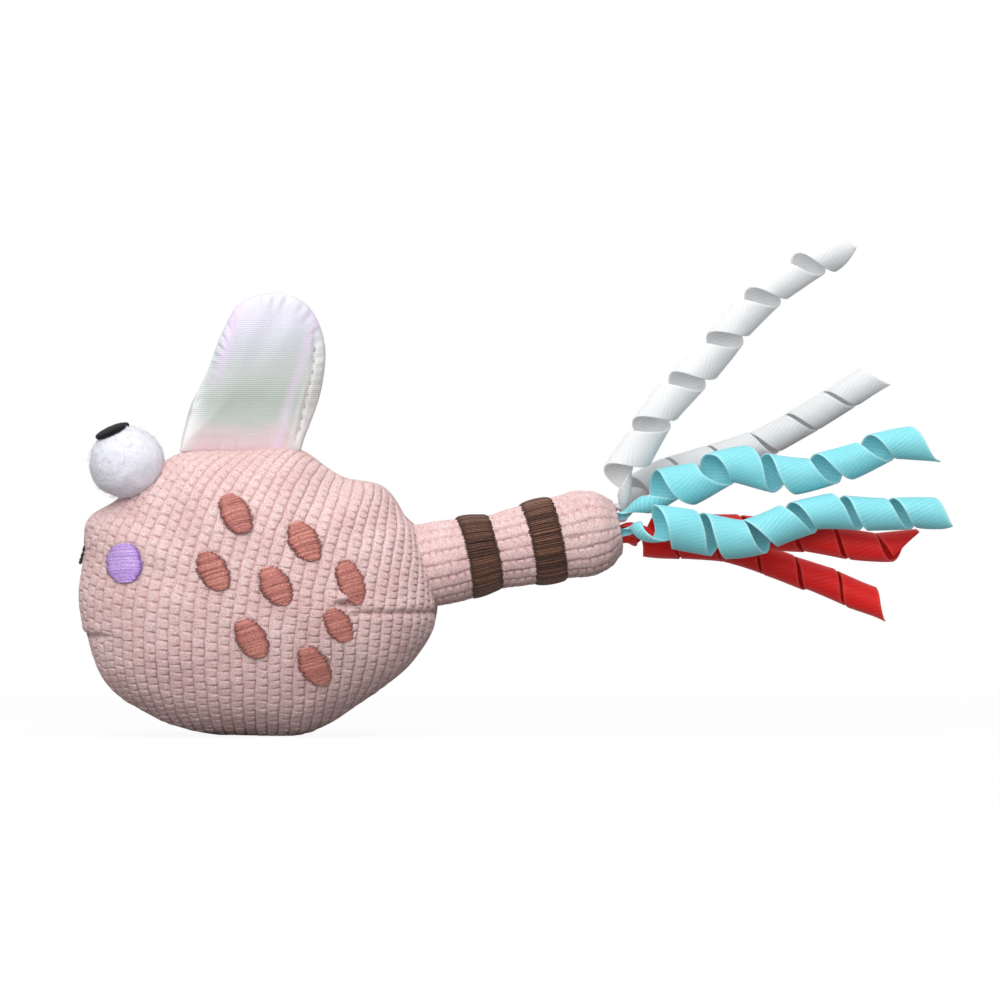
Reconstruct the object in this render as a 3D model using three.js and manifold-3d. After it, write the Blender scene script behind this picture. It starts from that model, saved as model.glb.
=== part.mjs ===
// A plush bug for dogs: a stuffed body with two wings, a banded tail and six curled ribbons.
// Millimetres, +Z up. The toy looks along -X and stands on its belly, at the origin.
import * as THREE from "three";
import { mergeVertices } from "three/addons/utils/BufferGeometryUtils.js";
import Module from "manifold-3d";

const wasm = await Module();
wasm.setup();

// Fits and fabrics
const seat = 0.3; // air between two pieces that touch
const overrun = 5; // how far a cutting solid reaches past what it cuts
const plushWall = 1.6; // waffle plush with its backing
const seamFold = 1; // one turned-in edge, pressed flat
const seamTurnIn = 4; // how far the turned-in edges reach inside
const satinEdge = 0.35; // embroidery at its rim
const satinCrown = 0.35; // what the middle of a spot stands above its rim

// Body
const bodyNose = -46.2; // x of the foremost point
const bodyLength = 97.2;
const bodyHeight = 77.5;
const bodyWidth = 62;
const bellyFlat = 0.5; // the belly is pressed flat by this much where the toy stands
const bodyFullness = 2.25; // 2 is an ellipse, more is a fuller pillow
const dartDepth = 1.3;
const dartHalfWidth = 1.4;
const dartStartShare = 0.62; // where a dart begins, as a share of the way from hub to seam

// Places on the body, as shares of its length from the nose and of its height
const bodyHubShares = [0.496, 0.49]; // the fullest point of each side
const frontDartShare = 0.348;
const rearDartShare = 0.426;
const squeakerShares = [0.414, 0.464];
const eyeShares = [0.134, 0.947];
const cheekShares = [0.134, 0.603];
const mouthShare = 0.599;
const wingRootShare = 0.281; // where a wing's root seam begins
const tailRootShare = 0.59;

// Squeaker
const squeakerRadius = 15;
const squeakerHalfLength = 11;
const squeakerWall = 1.2;
const reedRadius = 4;
const reedFlange = 1.2;
const reedLength = 7;

// Head trim
const eyeRadius = 10;
const eyeY = 12;
const pupilRadius = 4.4;
const pupilThickness = 1.4;
const pupilForwardTilt = 19; // degrees from straight up, towards the nose
const pupilOutwardTilt = 14; // degrees, away from the other eye
const cheekLength = 10.3;
const cheekWidth = 9.6;
const cheekTilt = 90; // degrees, the long way stands upright
const mouthHalfWidth = 9;
const mouthRise = 5;
const mouthThread = 1.1;

// Spots of satin stitch on each side: where each lies on the body, its length, width and tilt
const spotLength = 11.2;
const spotWidth = 7;
const spotTilt = -57; // degrees, the long way falls towards the tail
const creaseSpotLength = 12.2; // of the narrow one beside the tuft crease
const creaseSpotWidth = 6.6;
const creaseSpotTilt = -69;
const smallSpotLength = 9.6;
const smallSpotWidth = 6;
const plainSpot = { length: spotLength, width: spotWidth, tilt: spotTilt };
const creaseSpot = { length: creaseSpotLength, width: creaseSpotWidth, tilt: creaseSpotTilt };
const smallSpot = { length: smallSpotLength, width: smallSpotWidth, tilt: spotTilt };
const spots = [
  { ...plainSpot, shares: [0.442, 0.773] },
  { ...plainSpot, shares: [0.631, 0.679] },
  { ...plainSpot, shares: [0.381, 0.578] },
  { ...plainSpot, shares: [0.553, 0.526] },
  { ...creaseSpot, shares: [0.758, 0.539] },
  { ...smallSpot, shares: [0.724, 0.392] },
  { ...plainSpot, shares: [0.487, 0.345] },
  { ...plainSpot, shares: [0.658, 0.25] },
];

// Wings
const wingRootLength = 32.4;
const wingHeight = 41.7;
const wingHalfThickness = 3.6;
const wingWall = 0.6;
const wingRootY = 4;
const wingSplay = 8; // degrees each wing leans outwards
const wingHubShares = [0.63, 0.5]; // its fullest point, as in the outline below

// Tail
const tailSetIn = 2.4; // the root circle lies this far inside the rearmost seam
const tailLength = 52.7;
const tailRise = 11.5; // degrees above level
const tailYaw = 7; // degrees away from the left side
const tailWall = 1.3;
const tailRootRadius = 11.3;
const tailEndFace = 6.6; // radius of the flat end that holds the ribbons
const bandThickness = 0.7;
const bandWidth = 8;

// Ribbons
const ribbonWidth = 9.5;
const ribbonThickness = 0.5;
const curlRadius = 4.4; // each ribbon swells or narrows it in shares of its own
const curlSteps = 10; // per curl
const gatherLength = 18; // a ribbon opens out from its seam over this length
const gatherWidth = 2.6;
const gatherRadius = 0.5;
const endSlant = 0.9; // half the slant of the cut end
const rootGap = 0.5; // lets a gathered end swing clear of the tail's end face
const leastGap = 0.4; // wanted between one curl and the next
const upperWhiteReach = 98; // each ribbon's reach from the tail, and the pitch of its curls
const upperWhitePitch = 15.2;
const lowerWhiteReach = 82;
const lowerWhitePitch = 12;
const upperTurquoiseReach = 87;
const upperTurquoisePitch = 15;
const lowerTurquoiseReach = 87;
const lowerTurquoisePitch = 13.4;
const upperRedReach = 80;
const upperRedPitch = 12.2;
const lowerRedReach = 72;
const lowerRedPitch = 12.1;

const radians = THREE.MathUtils.degToRad;
const { lerp, smoothstep } = THREE.MathUtils;
const toy = new THREE.Group();

const alongBody = (share) => bodyNose + bodyLength * share;
const upBody = (share) => bodyHeight * share;
const onBody = ([along, up]) => new THREE.Vector2(alongBody(along), upBody(up));

const material = (color, roughness) => new THREE.MeshStandardMaterial({ color, roughness, metalness: 0 });
const pinkPlush = material(0xeec2bd, 0.95);
const whiteFelt = material(0xf2f1ee, 0.95);
const blackFelt = material(0x16161a, 0.6);
const purpleThread = material(0x8d62a8, 0.6);
const darkThread = material(0x4a2f35, 0.7);
const rustThread = material(0xbc7466, 0.6);
const brownThread = material(0x6e4b3c, 0.6);
const wingFabric = material(0xc9c2dc, 0.35);
const fibreFill = material(0xf4f3ef, 1);
const squeakerPlastic = material(0xe9ecf2, 0.5);
const ribbonMaterials = {
  white: material(0xe8ebee, 0.7),
  turquoise: material(0x82d7e1, 0.7),
  red: material(0xcd1e1e, 0.7),
};

// A closed solid from rings of points, each ring a list of Vector3 of one length. Its two ends
// are flat, unless it closes on itself.
function loft(rings, closedOnItself = false) {
  const count = rings[0].length;
  const positions = rings.flat().flatMap((p) => [p.x, p.y, p.z]);
  const index = [];
  const bands = closedOnItself ? rings.length : rings.length - 1;
  for (let j = 0; j < bands; j++) {
    const here = j * count;
    const next = ((j + 1) % rings.length) * count;
    for (let i = 0; i < count; i++) {
      const k = (i + 1) % count;
      index.push(here + i, here + k, next + i, here + k, next + k, next + i);
    }
  }
  if (!closedOnItself) {
    const last = (rings.length - 1) * count;
    for (let i = 1; i < count - 1; i++) {
      index.push(0, i + 1, i, last, last + i, last + i + 1);
    }
  }
  const geometry = new THREE.BufferGeometry();
  geometry.setAttribute("position", new THREE.Float32BufferAttribute(positions, 3));
  geometry.setIndex(index);
  return facingOut(geometry);
}

// Turns a closed surface so that its faces look outwards.
function facingOut(geometry) {
  const p = geometry.getAttribute("position");
  const index = geometry.index.array;
  const [a, b, c] = [new THREE.Vector3(), new THREE.Vector3(), new THREE.Vector3()];
  let volume = 0;
  for (let i = 0; i < index.length; i += 3) {
    a.fromBufferAttribute(p, index[i]);
    b.fromBufferAttribute(p, index[i + 1]);
    c.fromBufferAttribute(p, index[i + 2]);
    volume += a.dot(b.cross(c));
  }
  if (volume < 0) {
    for (let i = 0; i < index.length; i += 3) {
      [index[i + 1], index[i + 2]] = [index[i + 2], index[i + 1]];
    }
  }
  geometry.computeVertexNormals();
  return geometry;
}

// three.js geometry to a manifold solid and back
function solid(geometry) {
  const bare = geometry.clone();
  for (const name of Object.keys(bare.attributes)) {
    if (name !== "position") bare.deleteAttribute(name);
  }
  const merged = mergeVertices(bare, seat / 1000);
  const vertProperties = merged.getAttribute("position").array;
  const triVerts = new Uint32Array(merged.index.array);
  return new wasm.Manifold(new wasm.Mesh({ numProp: 3, vertProperties, triVerts }));
}

function geometryOf(manifold) {
  const mesh = manifold.getMesh();
  const geometry = new THREE.BufferGeometry();
  const points = new Float32Array(mesh.numVert * 3);
  for (let i = 0; i < mesh.numVert; i++) {
    points.set(mesh.vertProperties.subarray(i * mesh.numProp, i * mesh.numProp + 3), i * 3);
  }
  geometry.setAttribute("position", new THREE.BufferAttribute(points, 3));
  geometry.setIndex(new THREE.BufferAttribute(mesh.triVerts, 1));
  geometry.computeVertexNormals();
  return geometry;
}

function put(name, geometry, look, parent = toy) {
  const mesh = new THREE.Mesh(geometry, look);
  mesh.name = name;
  parent.add(mesh);
  return mesh;
}

// Side outline of the body, in shares of its length and height, from the brow over the back
const bodyOutlineShares = [
  [0.023, 0.759],
  [0.1, 0.826],
  [0.239, 0.965],
  [0.3, 0.998],
  [0.455, 1],
  [0.609, 0.998],
  [0.728, 0.908],
  [0.841, 0.875],
  [0.903, 0.779],
  [0.946, 0.723],
  [0.992, 0.592],
  [1, 0.501],
  [0.99, 0.394],
  [0.925, 0.254],
  [0.797, 0.129],
  [0.656, 0.027],
  [0.586, 0.004],
  [0.475, 0],
  [0.387, 0.004],
  [0.3, 0.024],
  [0.208, 0.066],
  [0.081, 0.181],
  [0.028, 0.324],
  [0, 0.484],
  [0.01, 0.626],
];

// A plane outline is a list of Vector2, x along the toy and y up. All of them turn one way
// round a hub, so a point on a side is found from its direction and its share of the way out.
const angleFrom = (hub, p) => Math.atan2(p.y - hub.y, p.x - hub.x);

function sortedRound(hub, points) {
  return [...points].sort((p, q) => angleFrom(hub, p) - angleFrom(hub, q));
}

// Where the ray from the hub through a point leaves an outline
function rimToward(outline, hub, target) {
  const ray = target.clone().sub(hub);
  for (let i = 0; i < outline.length; i++) {
    const a = outline[i].clone().sub(hub);
    const edge = outline[(i + 1) % outline.length].clone().sub(outline[i]);
    const across = ray.cross(edge);
    if (Math.abs(across) === 0) continue;
    const along = a.cross(edge) / across;
    const share = a.cross(ray) / across;
    if (along > 0 && share >= 0 && share <= 1) return hub.clone().addScaledVector(ray, along);
  }
  throw new Error("the outline does not surround its hub");
}

function splineOutline(points, closed, samples) {
  const curve = new THREE.CatmullRomCurve3(
    points.map((p) => new THREE.Vector3(p.x, p.y, 0)),
    closed,
    "centripetal",
  );
  const made = curve.getPoints(samples).map((p) => new THREE.Vector2(p.x, p.y));
  return closed ? made.slice(0, -1) : made;
}

const bodyHub = onBody(bodyHubShares);
const bodyCurve = splineOutline(
  bodyOutlineShares.map(([along, up]) => new THREE.Vector2(alongBody(along), upBody(up) - bellyFlat)),
  true,
  2 * bodyOutlineShares.length,
);

// The foremost (-1) or rearmost (1) point of an outline at a height
function rimAtHeight(outline, z, end) {
  let found = null;
  for (let i = 0; i < outline.length; i++) {
    const a = outline[i];
    const b = outline[(i + 1) % outline.length];
    if (a.y === b.y || (a.y - z) * (b.y - z) > 0) continue;
    const p = a.clone().lerp(b, (z - a.y) / (b.y - a.y));
    if (!found || end * (p.x - found.x) > 0) found = p;
  }
  return found;
}

// Each dart takes three rays of the outline: its line, drawn in, and the fabric either side.
function dartRays(z, end) {
  const [line, ...sides] = [0, 1, -1].map((k) => rimAtHeight(bodyCurve, z + k * dartHalfWidth, end));
  return { line, sides };
}

const darts = [dartRays(upBody(frontDartShare), -1), dartRays(upBody(rearDartShare), 1)];
const dartPoints = darts.flatMap((d) => [d.line, ...d.sides]);
const clearOfDarts = bodyCurve.filter((p) =>
  darts.every((d) => p.distanceTo(d.line) > 2 * dartHalfWidth),
);
const bodyRim = sortedRound(bodyHub, [...clearOfDarts, ...dartPoints]);
const isDartLine = (p) => darts.some((d) => d.line === p);

// For ring j of n of a stuffed form: the share of the way out to the seam, and the share of the
// half depth there.
function pillowShares(j, n, fullness) {
  const turn = ((Math.PI / 2) * j) / n;
  return { out: Math.sin(turn) ** (2 / fullness), deep: Math.max(0, Math.cos(turn)) ** (2 / fullness) };
}

const insetToward = (p, hub, inset) => p.clone().lerp(hub, inset / p.distanceTo(hub));

// Rings of one face of a stuffed form, from its hub to its seam. Across the seam plane the form
// keeps half a gap, and a dart's line is drawn in towards the seam.
function pillowRings({ rim, hub, halfDepth, halfGap, fullness, inset, rings, side, dartLine }) {
  const made = [];
  for (let j = 1; j <= rings; j++) {
    const { out, deep } = pillowShares(j, rings, fullness);
    made.push(
      rim.map((p) => {
        const drawn = dartLine?.(p) ? dartDepth * smoothstep(out, dartStartShare, 1) : 0;
        const edge = insetToward(p, hub, inset + drawn * out);
        const depth = halfGap + (halfDepth - inset - halfGap - drawn * deep) * deep;
        return new THREE.Vector3(lerp(hub.x, edge.x, out), side * depth, lerp(hub.y, edge.y, out));
      }),
    );
  }
  return made;
}

const hubPoint = (form, inset) =>
  new THREE.Vector3(form.hub.x, form.side * (form.halfDepth - inset), form.hub.y);

// A closed surface from a hub point, rings and a second hub point
function cappedRings(first, rings, last) {
  const count = rings[0].length;
  const positions = [first, ...rings.flat(), last].flatMap((p) => [p.x, p.y, p.z]);
  const end = rings.length * count + 1;
  const at = (j, i) => 1 + j * count + (i % count);
  const index = [];
  for (let i = 0; i < count; i++) {
    index.push(0, at(0, i), at(0, i + 1));
    index.push(end, at(rings.length - 1, i + 1), at(rings.length - 1, i));
    for (let j = 0; j < rings.length - 1; j++) {
      index.push(at(j, i), at(j + 1, i), at(j, i + 1), at(j, i + 1), at(j + 1, i), at(j + 1, i + 1));
    }
  }
  const geometry = new THREE.BufferGeometry();
  geometry.setAttribute("position", new THREE.Float32BufferAttribute(positions, 3));
  geometry.setIndex(index);
  return facingOut(geometry);
}

// A fabric panel: an outer face, an inner face one wall inside it, and the seam edge between.
function fabricPanel(form, wall, innerRings) {
  const outer = pillowRings({ ...form, inset: 0 });
  const inner = pillowRings({ ...form, inset: wall, rings: innerRings });
  return cappedRings(hubPoint(form, 0), [...outer, ...inner.reverse()], hubPoint(form, wall));
}

// Filling on one side of the seam plane, or on both
function filling(form, inset, bothSides) {
  const near = pillowRings({ ...form, inset });
  const flat = new THREE.Vector3(form.hub.x, form.side * form.halfGap, form.hub.y);
  if (!bothSides) return cappedRings(hubPoint(form, inset), near, flat);
  const other = { ...form, side: -form.side };
  const far = pillowRings({ ...other, inset }).slice(0, -1).reverse();
  return cappedRings(hubPoint(form, inset), [...near, ...far], hubPoint(other, inset));
}

const panelRings = 7;
const bodyForm = (side) => ({
  rim: bodyRim,
  hub: bodyHub,
  halfDepth: bodyWidth / 2,
  halfGap: seamFold + seat,
  fullness: bodyFullness,
  rings: panelRings,
  dartLine: isDartLine,
  side,
});

// Height of the body's side over the seam plane at a place seen from the side
function bodyDepth(x, z) {
  const place = new THREE.Vector2(x, z);
  const edge = rimToward(bodyRim, bodyHub, place);
  const out = place.distanceTo(bodyHub) / edge.distanceTo(bodyHub);
  const form = bodyForm(1);
  for (let j = 1; j <= panelRings; j++) {
    const a = pillowShares(j - 1, panelRings, bodyFullness);
    const b = pillowShares(j, panelRings, bodyFullness);
    if (out <= b.out) {
      const deep = lerp(a.deep, b.deep, (out - a.out) / (b.out - a.out));
      return form.halfGap + (form.halfDepth - form.halfGap) * deep;
    }
  }
  return form.halfGap;
}

// A point lifted off the body's side, along the side's own normal
function onBodySide(x, z, side, lift) {
  const step = dartHalfWidth / 2;
  const slopeX = (bodyDepth(x + step, z) - bodyDepth(x - step, z)) / (2 * step);
  const slopeZ = (bodyDepth(x, z + step) - bodyDepth(x, z - step)) / (2 * step);
  const normal = new THREE.Vector3(-slopeX, 1, -slopeZ).normalize();
  const point = new THREE.Vector3(x, bodyDepth(x, z), z).addScaledVector(normal, lift);
  point.y *= side;
  return point;
}

// An embroidered patch that lies on the body's side
const patchSides = 12;
function satinPatch({ shares, length, width, tilt }, side, { pointed = 0, between = [] } = {}) {
  const middle = onBody(shares);
  const turn = radians(tilt);
  const place = (share, i, lift) => {
    const a = (2 * Math.PI * i) / patchSides;
    const narrow = pointed ? Math.sign(Math.sin(a)) * Math.abs(Math.sin(a)) ** pointed : Math.sin(a);
    const along = (share * length * Math.cos(a)) / 2;
    const across = (share * width * narrow) / 2;
    return onBodySide(
      middle.x + along * Math.cos(turn) - across * Math.sin(turn),
      middle.y + along * Math.sin(turn) + across * Math.cos(turn),
      side,
      lift,
    );
  };
  const ring = (share, lift) => Array.from({ length: patchSides }, (_, i) => place(share, i, lift));
  const top = (share) => seat + satinEdge + satinCrown * (1 - share ** 2);
  const outwards = [...between, 1];
  const above = outwards.map((share) => ring(share, top(share)));
  const below = outwards.map((share) => ring(share, seat)).reverse();
  return cappedRings(place(0, 0, top(0)), [...above, ...below], place(0, 0, seat));
}

// The tail's frame: its origin is the middle of the root circle, +X runs down the tail
const tailRoot = rimAtHeight(bodyRim, upBody(tailRootShare), 1);
const tail = new THREE.Group();
tail.position.set(tailRoot.x - tailSetIn, 0, tailRoot.y);
tail.rotation.set(0, -radians(tailRise), radians(tailYaw), "ZYX");
toy.add(tail);

// The body's fabric and filling are open round the tail's rounded root.
const tailSocket = new THREE.SphereGeometry(tailRootRadius + 2 * seat, 24, 16);
tailSocket.rotateX(Math.PI / 2);
tailSocket.translate(tail.position.x, 0, tail.position.z);
const ground = new THREE.BoxGeometry(2 * bodyLength, 2 * bodyWidth, overrun);
ground.translate(0, 0, -overrun / 2);
const cutBody = (geometry) => geometryOf(solid(geometry).subtract(solid(tailSocket)).subtract(solid(ground)));

// The squeaker's bulb is turned about an axis that runs along the toy, with its reed in front.
function turned(profile, segments) {
  const geometry = new THREE.LatheGeometry(profile, segments);
  geometry.rotateZ(-Math.PI / 2);
  return geometry;
}

const squeakerMiddle = onBody(squeakerShares);
const bulbSteps = 7;
function bulbArc(grow, neck) {
  const radius = squeakerRadius + grow;
  const half = squeakerHalfLength + grow;
  const start = neck > 0 ? Math.asin(neck / radius) : 0;
  return Array.from({ length: bulbSteps + 1 }, (_, i) => {
    const a = lerp(start, Math.PI, i / bulbSteps);
    return new THREE.Vector2(i === bulbSteps ? 0 : radius * Math.sin(a), -half * Math.cos(a));
  });
}

function addSqueaker() {
  const neck = reedRadius + seat;
  const outside = bulbArc(0, neck);
  const inside = bulbArc(-squeakerWall, neck).reverse();
  const bulb = put("squeaker_bulb", turned([...inside, ...outside].reverse(), 20), squeakerPlastic);
  bulb.geometry = facingOut(indexed(bulb.geometry));
  bulb.position.set(squeakerMiddle.x, 0, squeakerMiddle.y);
  const front = outside[0].y - seat;
  const flange = reedRadius + squeakerWall;
  const reed = turned(
    [
      new THREE.Vector2(0, front - reedFlange),
      new THREE.Vector2(flange, front - reedFlange),
      new THREE.Vector2(flange, front),
      new THREE.Vector2(reedRadius, front),
      new THREE.Vector2(reedRadius, front + reedLength),
      new THREE.Vector2(0, front + reedLength),
    ],
    12,
  );
  put("squeaker_reed", facingOut(indexed(reed)), squeakerPlastic).position.copy(bulb.position);
}

function indexed(geometry) {
  for (const name of ["normal", "uv"]) geometry.deleteAttribute(name);
  const merged = mergeVertices(geometry, seat / 1000);
  const faces = merged.index.array;
  const kept = [];
  for (let i = 0; i < faces.length; i += 3) {
    const [a, b, c] = faces.subarray(i, i + 3);
    if (a !== b && b !== c && a !== c) kept.push(a, b, c);
  }
  merged.setIndex(kept);
  return merged;
}

function addBody() {
  const room = turned(bulbArc(2 * seat, 0), 20);
  room.translate(squeakerMiddle.x, 0, squeakerMiddle.y);
  const reedRoom = new THREE.CylinderGeometry(
    reedRadius + squeakerWall + 2 * seat,
    reedRadius + squeakerWall + 2 * seat,
    squeakerHalfLength,
    12,
  );
  reedRoom.rotateZ(Math.PI / 2);
  reedRoom.translate(squeakerMiddle.x - squeakerHalfLength, 0, squeakerMiddle.y);
  const pocket = solid(facingOut(indexed(room))).add(solid(facingOut(indexed(reedRoom))));
  for (const [label, side] of Object.entries({ left: -1, right: 1 })) {
    const form = bodyForm(side);
    put("body_panel_" + label, cutBody(fabricPanel(form, plushWall, 4)), pinkPlush);
    const rim = bodyRim.filter((p, i) => i % 2 === 0 || isDartLine(p));
    const stuffing = filling({ ...form, rim, rings: 4 }, plushWall + seat, false);
    const hollowed = solid(cutBody(stuffing)).subtract(pocket);
    put("body_stuffing_" + label, geometryOf(hollowed), fibreFill);
  }
  // The turned-in edges of both panels, sewn together, stand inwards all round the seam plane.
  const edge = (inset, side) =>
    bodyRim.map((p) => {
      const drawn = isDartLine(p) ? dartDepth : 0;
      const q = insetToward(p, bodyHub, inset + drawn);
      return new THREE.Vector3(q.x, side * seamFold, q.y);
    });
  const seam = loft([edge(0, -1), edge(0, 1), edge(seamTurnIn, 1), edge(seamTurnIn, -1)], true);
  put("body_center_seam", cutBody(seam), pinkPlush);
}

function addEyes() {
  const middle = onBody(eyeShares);
  const grown = bodyRim.map((p) => insetToward(p, bodyHub, -seat));
  const forward = radians(pupilForwardTilt);
  const outward = radians(pupilOutwardTilt);
  for (const [label, side] of Object.entries({ left: -1, right: 1 })) {
    const ball = new THREE.IcosahedronGeometry(eyeRadius, 3);
    ball.translate(middle.x, side * eyeY, middle.y);
    const bodyRoom = filling({ ...bodyForm(side), rim: grown, halfDepth: bodyWidth / 2 + seat }, 0, false);
    put("eye_" + label, geometryOf(solid(ball).subtract(solid(bodyRoom))), whiteFelt);
    // A dished disc that lies on the ball
    const under = eyeRadius + seat;
    const rimDrop = Math.sqrt(under ** 2 - pupilRadius ** 2);
    const disc = new THREE.LatheGeometry(
      [
        new THREE.Vector2(0, under),
        new THREE.Vector2(pupilRadius / 2, Math.sqrt(under ** 2 - (pupilRadius / 2) ** 2)),
        new THREE.Vector2(pupilRadius, rimDrop),
        new THREE.Vector2(pupilRadius, rimDrop + pupilThickness),
        new THREE.Vector2(0, under + pupilThickness / 2),
      ],
      16,
    );
    disc.rotateX(Math.PI / 2);
    const pupil = put("pupil_" + label, facingOut(indexed(disc)), blackFelt);
    pupil.position.set(middle.x, side * eyeY, middle.y);
    pupil.rotation.set(-side * outward, -forward, 0);
  }
}

// Front of the body at a height z and a distance y from the seam plane
function onBodyFront(y, z, lift) {
  const at = (yy, zz) => {
    const deep = Math.abs(yy) / (bodyWidth / 2);
    const out = (1 - deep ** bodyFullness) ** (1 / bodyFullness);
    const rim = rimAtHeight(bodyRim, lerp(bodyHub.y, zz, 1 / out), -1);
    return new THREE.Vector3(lerp(bodyHub.x, rim.x, out), yy, zz);
  };
  const step = mouthThread;
  const acrossY = at(y + step, z).sub(at(y - step, z));
  const acrossZ = at(y, z + step).sub(at(y, z - step));
  const normal = acrossZ.cross(acrossY).normalize();
  if (normal.x > 0) normal.negate();
  return at(y, z).addScaledVector(normal, lift);
}

function addFaceTrim() {
  for (const [label, side] of Object.entries({ left: -1, right: 1 })) {
    const cheek = { shares: cheekShares, length: cheekLength, width: cheekWidth, tilt: cheekTilt };
    put("cheek_" + label, satinPatch(cheek, side, { between: [0.6] }), purpleThread);
  }
  const points = [-1, -0.66, -0.33, 0, 0.33, 0.66, 1].map((share) =>
    onBodyFront(share * mouthHalfWidth, upBody(mouthShare) + mouthRise * share ** 2, seat + mouthThread / 2),
  );
  const thread = new THREE.Shape().absarc(0, 0, mouthThread / 2, 0, 2 * Math.PI);
  const mouth = new THREE.ExtrudeGeometry(thread, {
    steps: 12,
    curveSegments: 6,
    extrudePath: new THREE.CatmullRomCurve3(points),
  });
  put("mouth", facingOut(indexed(mouth)), darkThread);
}

function addSpots() {
  for (const [label, side] of Object.entries({ left: -1, right: 1 })) {
    spots.forEach((spot, i) => {
      put("spot_" + label + "_" + (i + 1), satinPatch(spot, side, { pointed: 1.25 }), rustThread);
    });
  }
}

// Side outline of a wing, in shares of its root length and its height, from the front of the
// root round the top to its rear
const wingOutlineShares = [
  [0, 0],
  [0.099, 0.281],
  [0.225, 0.477],
  [0.358, 0.751],
  [0.509, 0.94],
  [0.725, 1],
  [0.883, 1],
  [1.068, 0.92],
  [1.2, 0.692],
  [1.182, 0.404],
  [1.068, 0.123],
  [1, 0],
];
const wingSeamShares = [0.8, 0.6, 0.4, 0.2]; // points along the straight root seam

const wingRootZ = Math.max(...bodyRim.map((p) => p.y)) + seat;

function addWing(label, side) {
  const place = ([along, up]) => new THREE.Vector2(along * wingRootLength, up * wingHeight);
  const hub = place(wingHubShares);
  const rim = [
    ...splineOutline(wingOutlineShares.map(place), false, 2 * (wingOutlineShares.length - 1)),
    ...wingSeamShares.map((share) => place([share, 0])),
  ];
  const form = (facing) => ({
    rim: sortedRound(hub, rim),
    hub,
    halfDepth: wingHalfThickness,
    halfGap: seat / 2,
    fullness: 2,
    rings: 4,
    side: facing,
  });
  const wing = new THREE.Group();
  wing.position.set(alongBody(wingRootShare), side * wingRootY, wingRootZ);
  wing.rotation.x = -side * radians(wingSplay);
  toy.add(wing);
  const name = "wing_" + label;
  put(name + "_outer_panel", fabricPanel(form(side), wingWall, 3), wingFabric, wing);
  put(name + "_inner_panel", fabricPanel(form(-side), wingWall, 3), wingFabric, wing);
  const padding = { ...form(side), rim: form(side).rim.filter((p, i) => i % 2 === 0), rings: 3, halfGap: 0 };
  put(name + "_padding", filling(padding, wingWall + seat, true), fibreFill, wing);
}

// Radius of the tail along its length: share of the length, share of the root radius
const tailProfileShares = [
  [0, 1],
  [0.12, 0.99],
  [0.21, 0.93],
  [0.33, 0.84],
  [0.47, 0.92],
  [0.7, 0.96],
  [0.83, 1.04],
  [0.92, 0.94],
  [0.975, 0.76],
];
const bandStartShares = [0.2, 0.535];
const tailSegments = 20;

function tailRadius(along) {
  const share = along / tailLength;
  const last = tailProfileShares.length - 1;
  for (let i = 0; i < last; i++) {
    const [a, ra] = tailProfileShares[i];
    const [b, rb] = tailProfileShares[i + 1];
    if (share <= b) return tailRootRadius * lerp(ra, rb, (share - a) / (b - a));
  }
  return tailRootRadius * tailProfileShares[last][1];
}

function addTail() {
  const outside = tailProfileShares.map(([a, r]) => new THREE.Vector2(r * tailRootRadius, a * tailLength));
  const end = [new THREE.Vector2(tailEndFace, tailLength), new THREE.Vector2(0, tailLength)];
  const inside = (inset) => [
    new THREE.Vector2(0, tailLength - inset),
    new THREE.Vector2(tailEndFace - inset, tailLength - inset),
    ...outside
      .slice(0, -1)
      .reverse()
      .map((p) => new THREE.Vector2(p.x - inset, p.y)),
  ];
  const cover = turned([...outside, ...end].reverse().concat(inside(tailWall).reverse()), tailSegments);
  put("tail_cover", facingOut(indexed(cover)), pinkPlush, tail);
  // The filling ends in a ball inside the body, so the tail can nod in its opening.
  const ballSteps = 4;
  const ball = Array.from({ length: ballSteps + 1 }, (_, i) => {
    const a = lerp(0, Math.PI / 2, i / ballSteps) - (i === ballSteps ? seat / tailRootRadius : 0);
    return new THREE.Vector2(tailRootRadius * Math.sin(a), -tailRootRadius * Math.cos(a));
  });
  const core = inside(tailWall + seat).reverse();
  core[0].y = -seat;
  const stuffing = turned([...ball, ...core], tailSegments);
  put("tail_stuffing", facingOut(indexed(stuffing)), fibreFill, tail);
  bandStartShares.forEach((start, i) => {
    const from = start * tailLength;
    const low = (a) => tailRadius(a) + seat;
    const middle = from + bandWidth / 2;
    const to = from + bandWidth;
    const ring = [
      new THREE.Vector2(low(from), from),
      new THREE.Vector2(low(from) + bandThickness, from),
      new THREE.Vector2(low(middle) + bandThickness, middle),
      new THREE.Vector2(low(to) + bandThickness, to),
      new THREE.Vector2(low(to), to),
      new THREE.Vector2(low(middle), middle),
    ];
    const band = turned([...ring, ring[0]], tailSegments);
    put("tail_band_" + (i + 1), facingOut(indexed(band)), brownThread, tail);
  });
}

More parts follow.
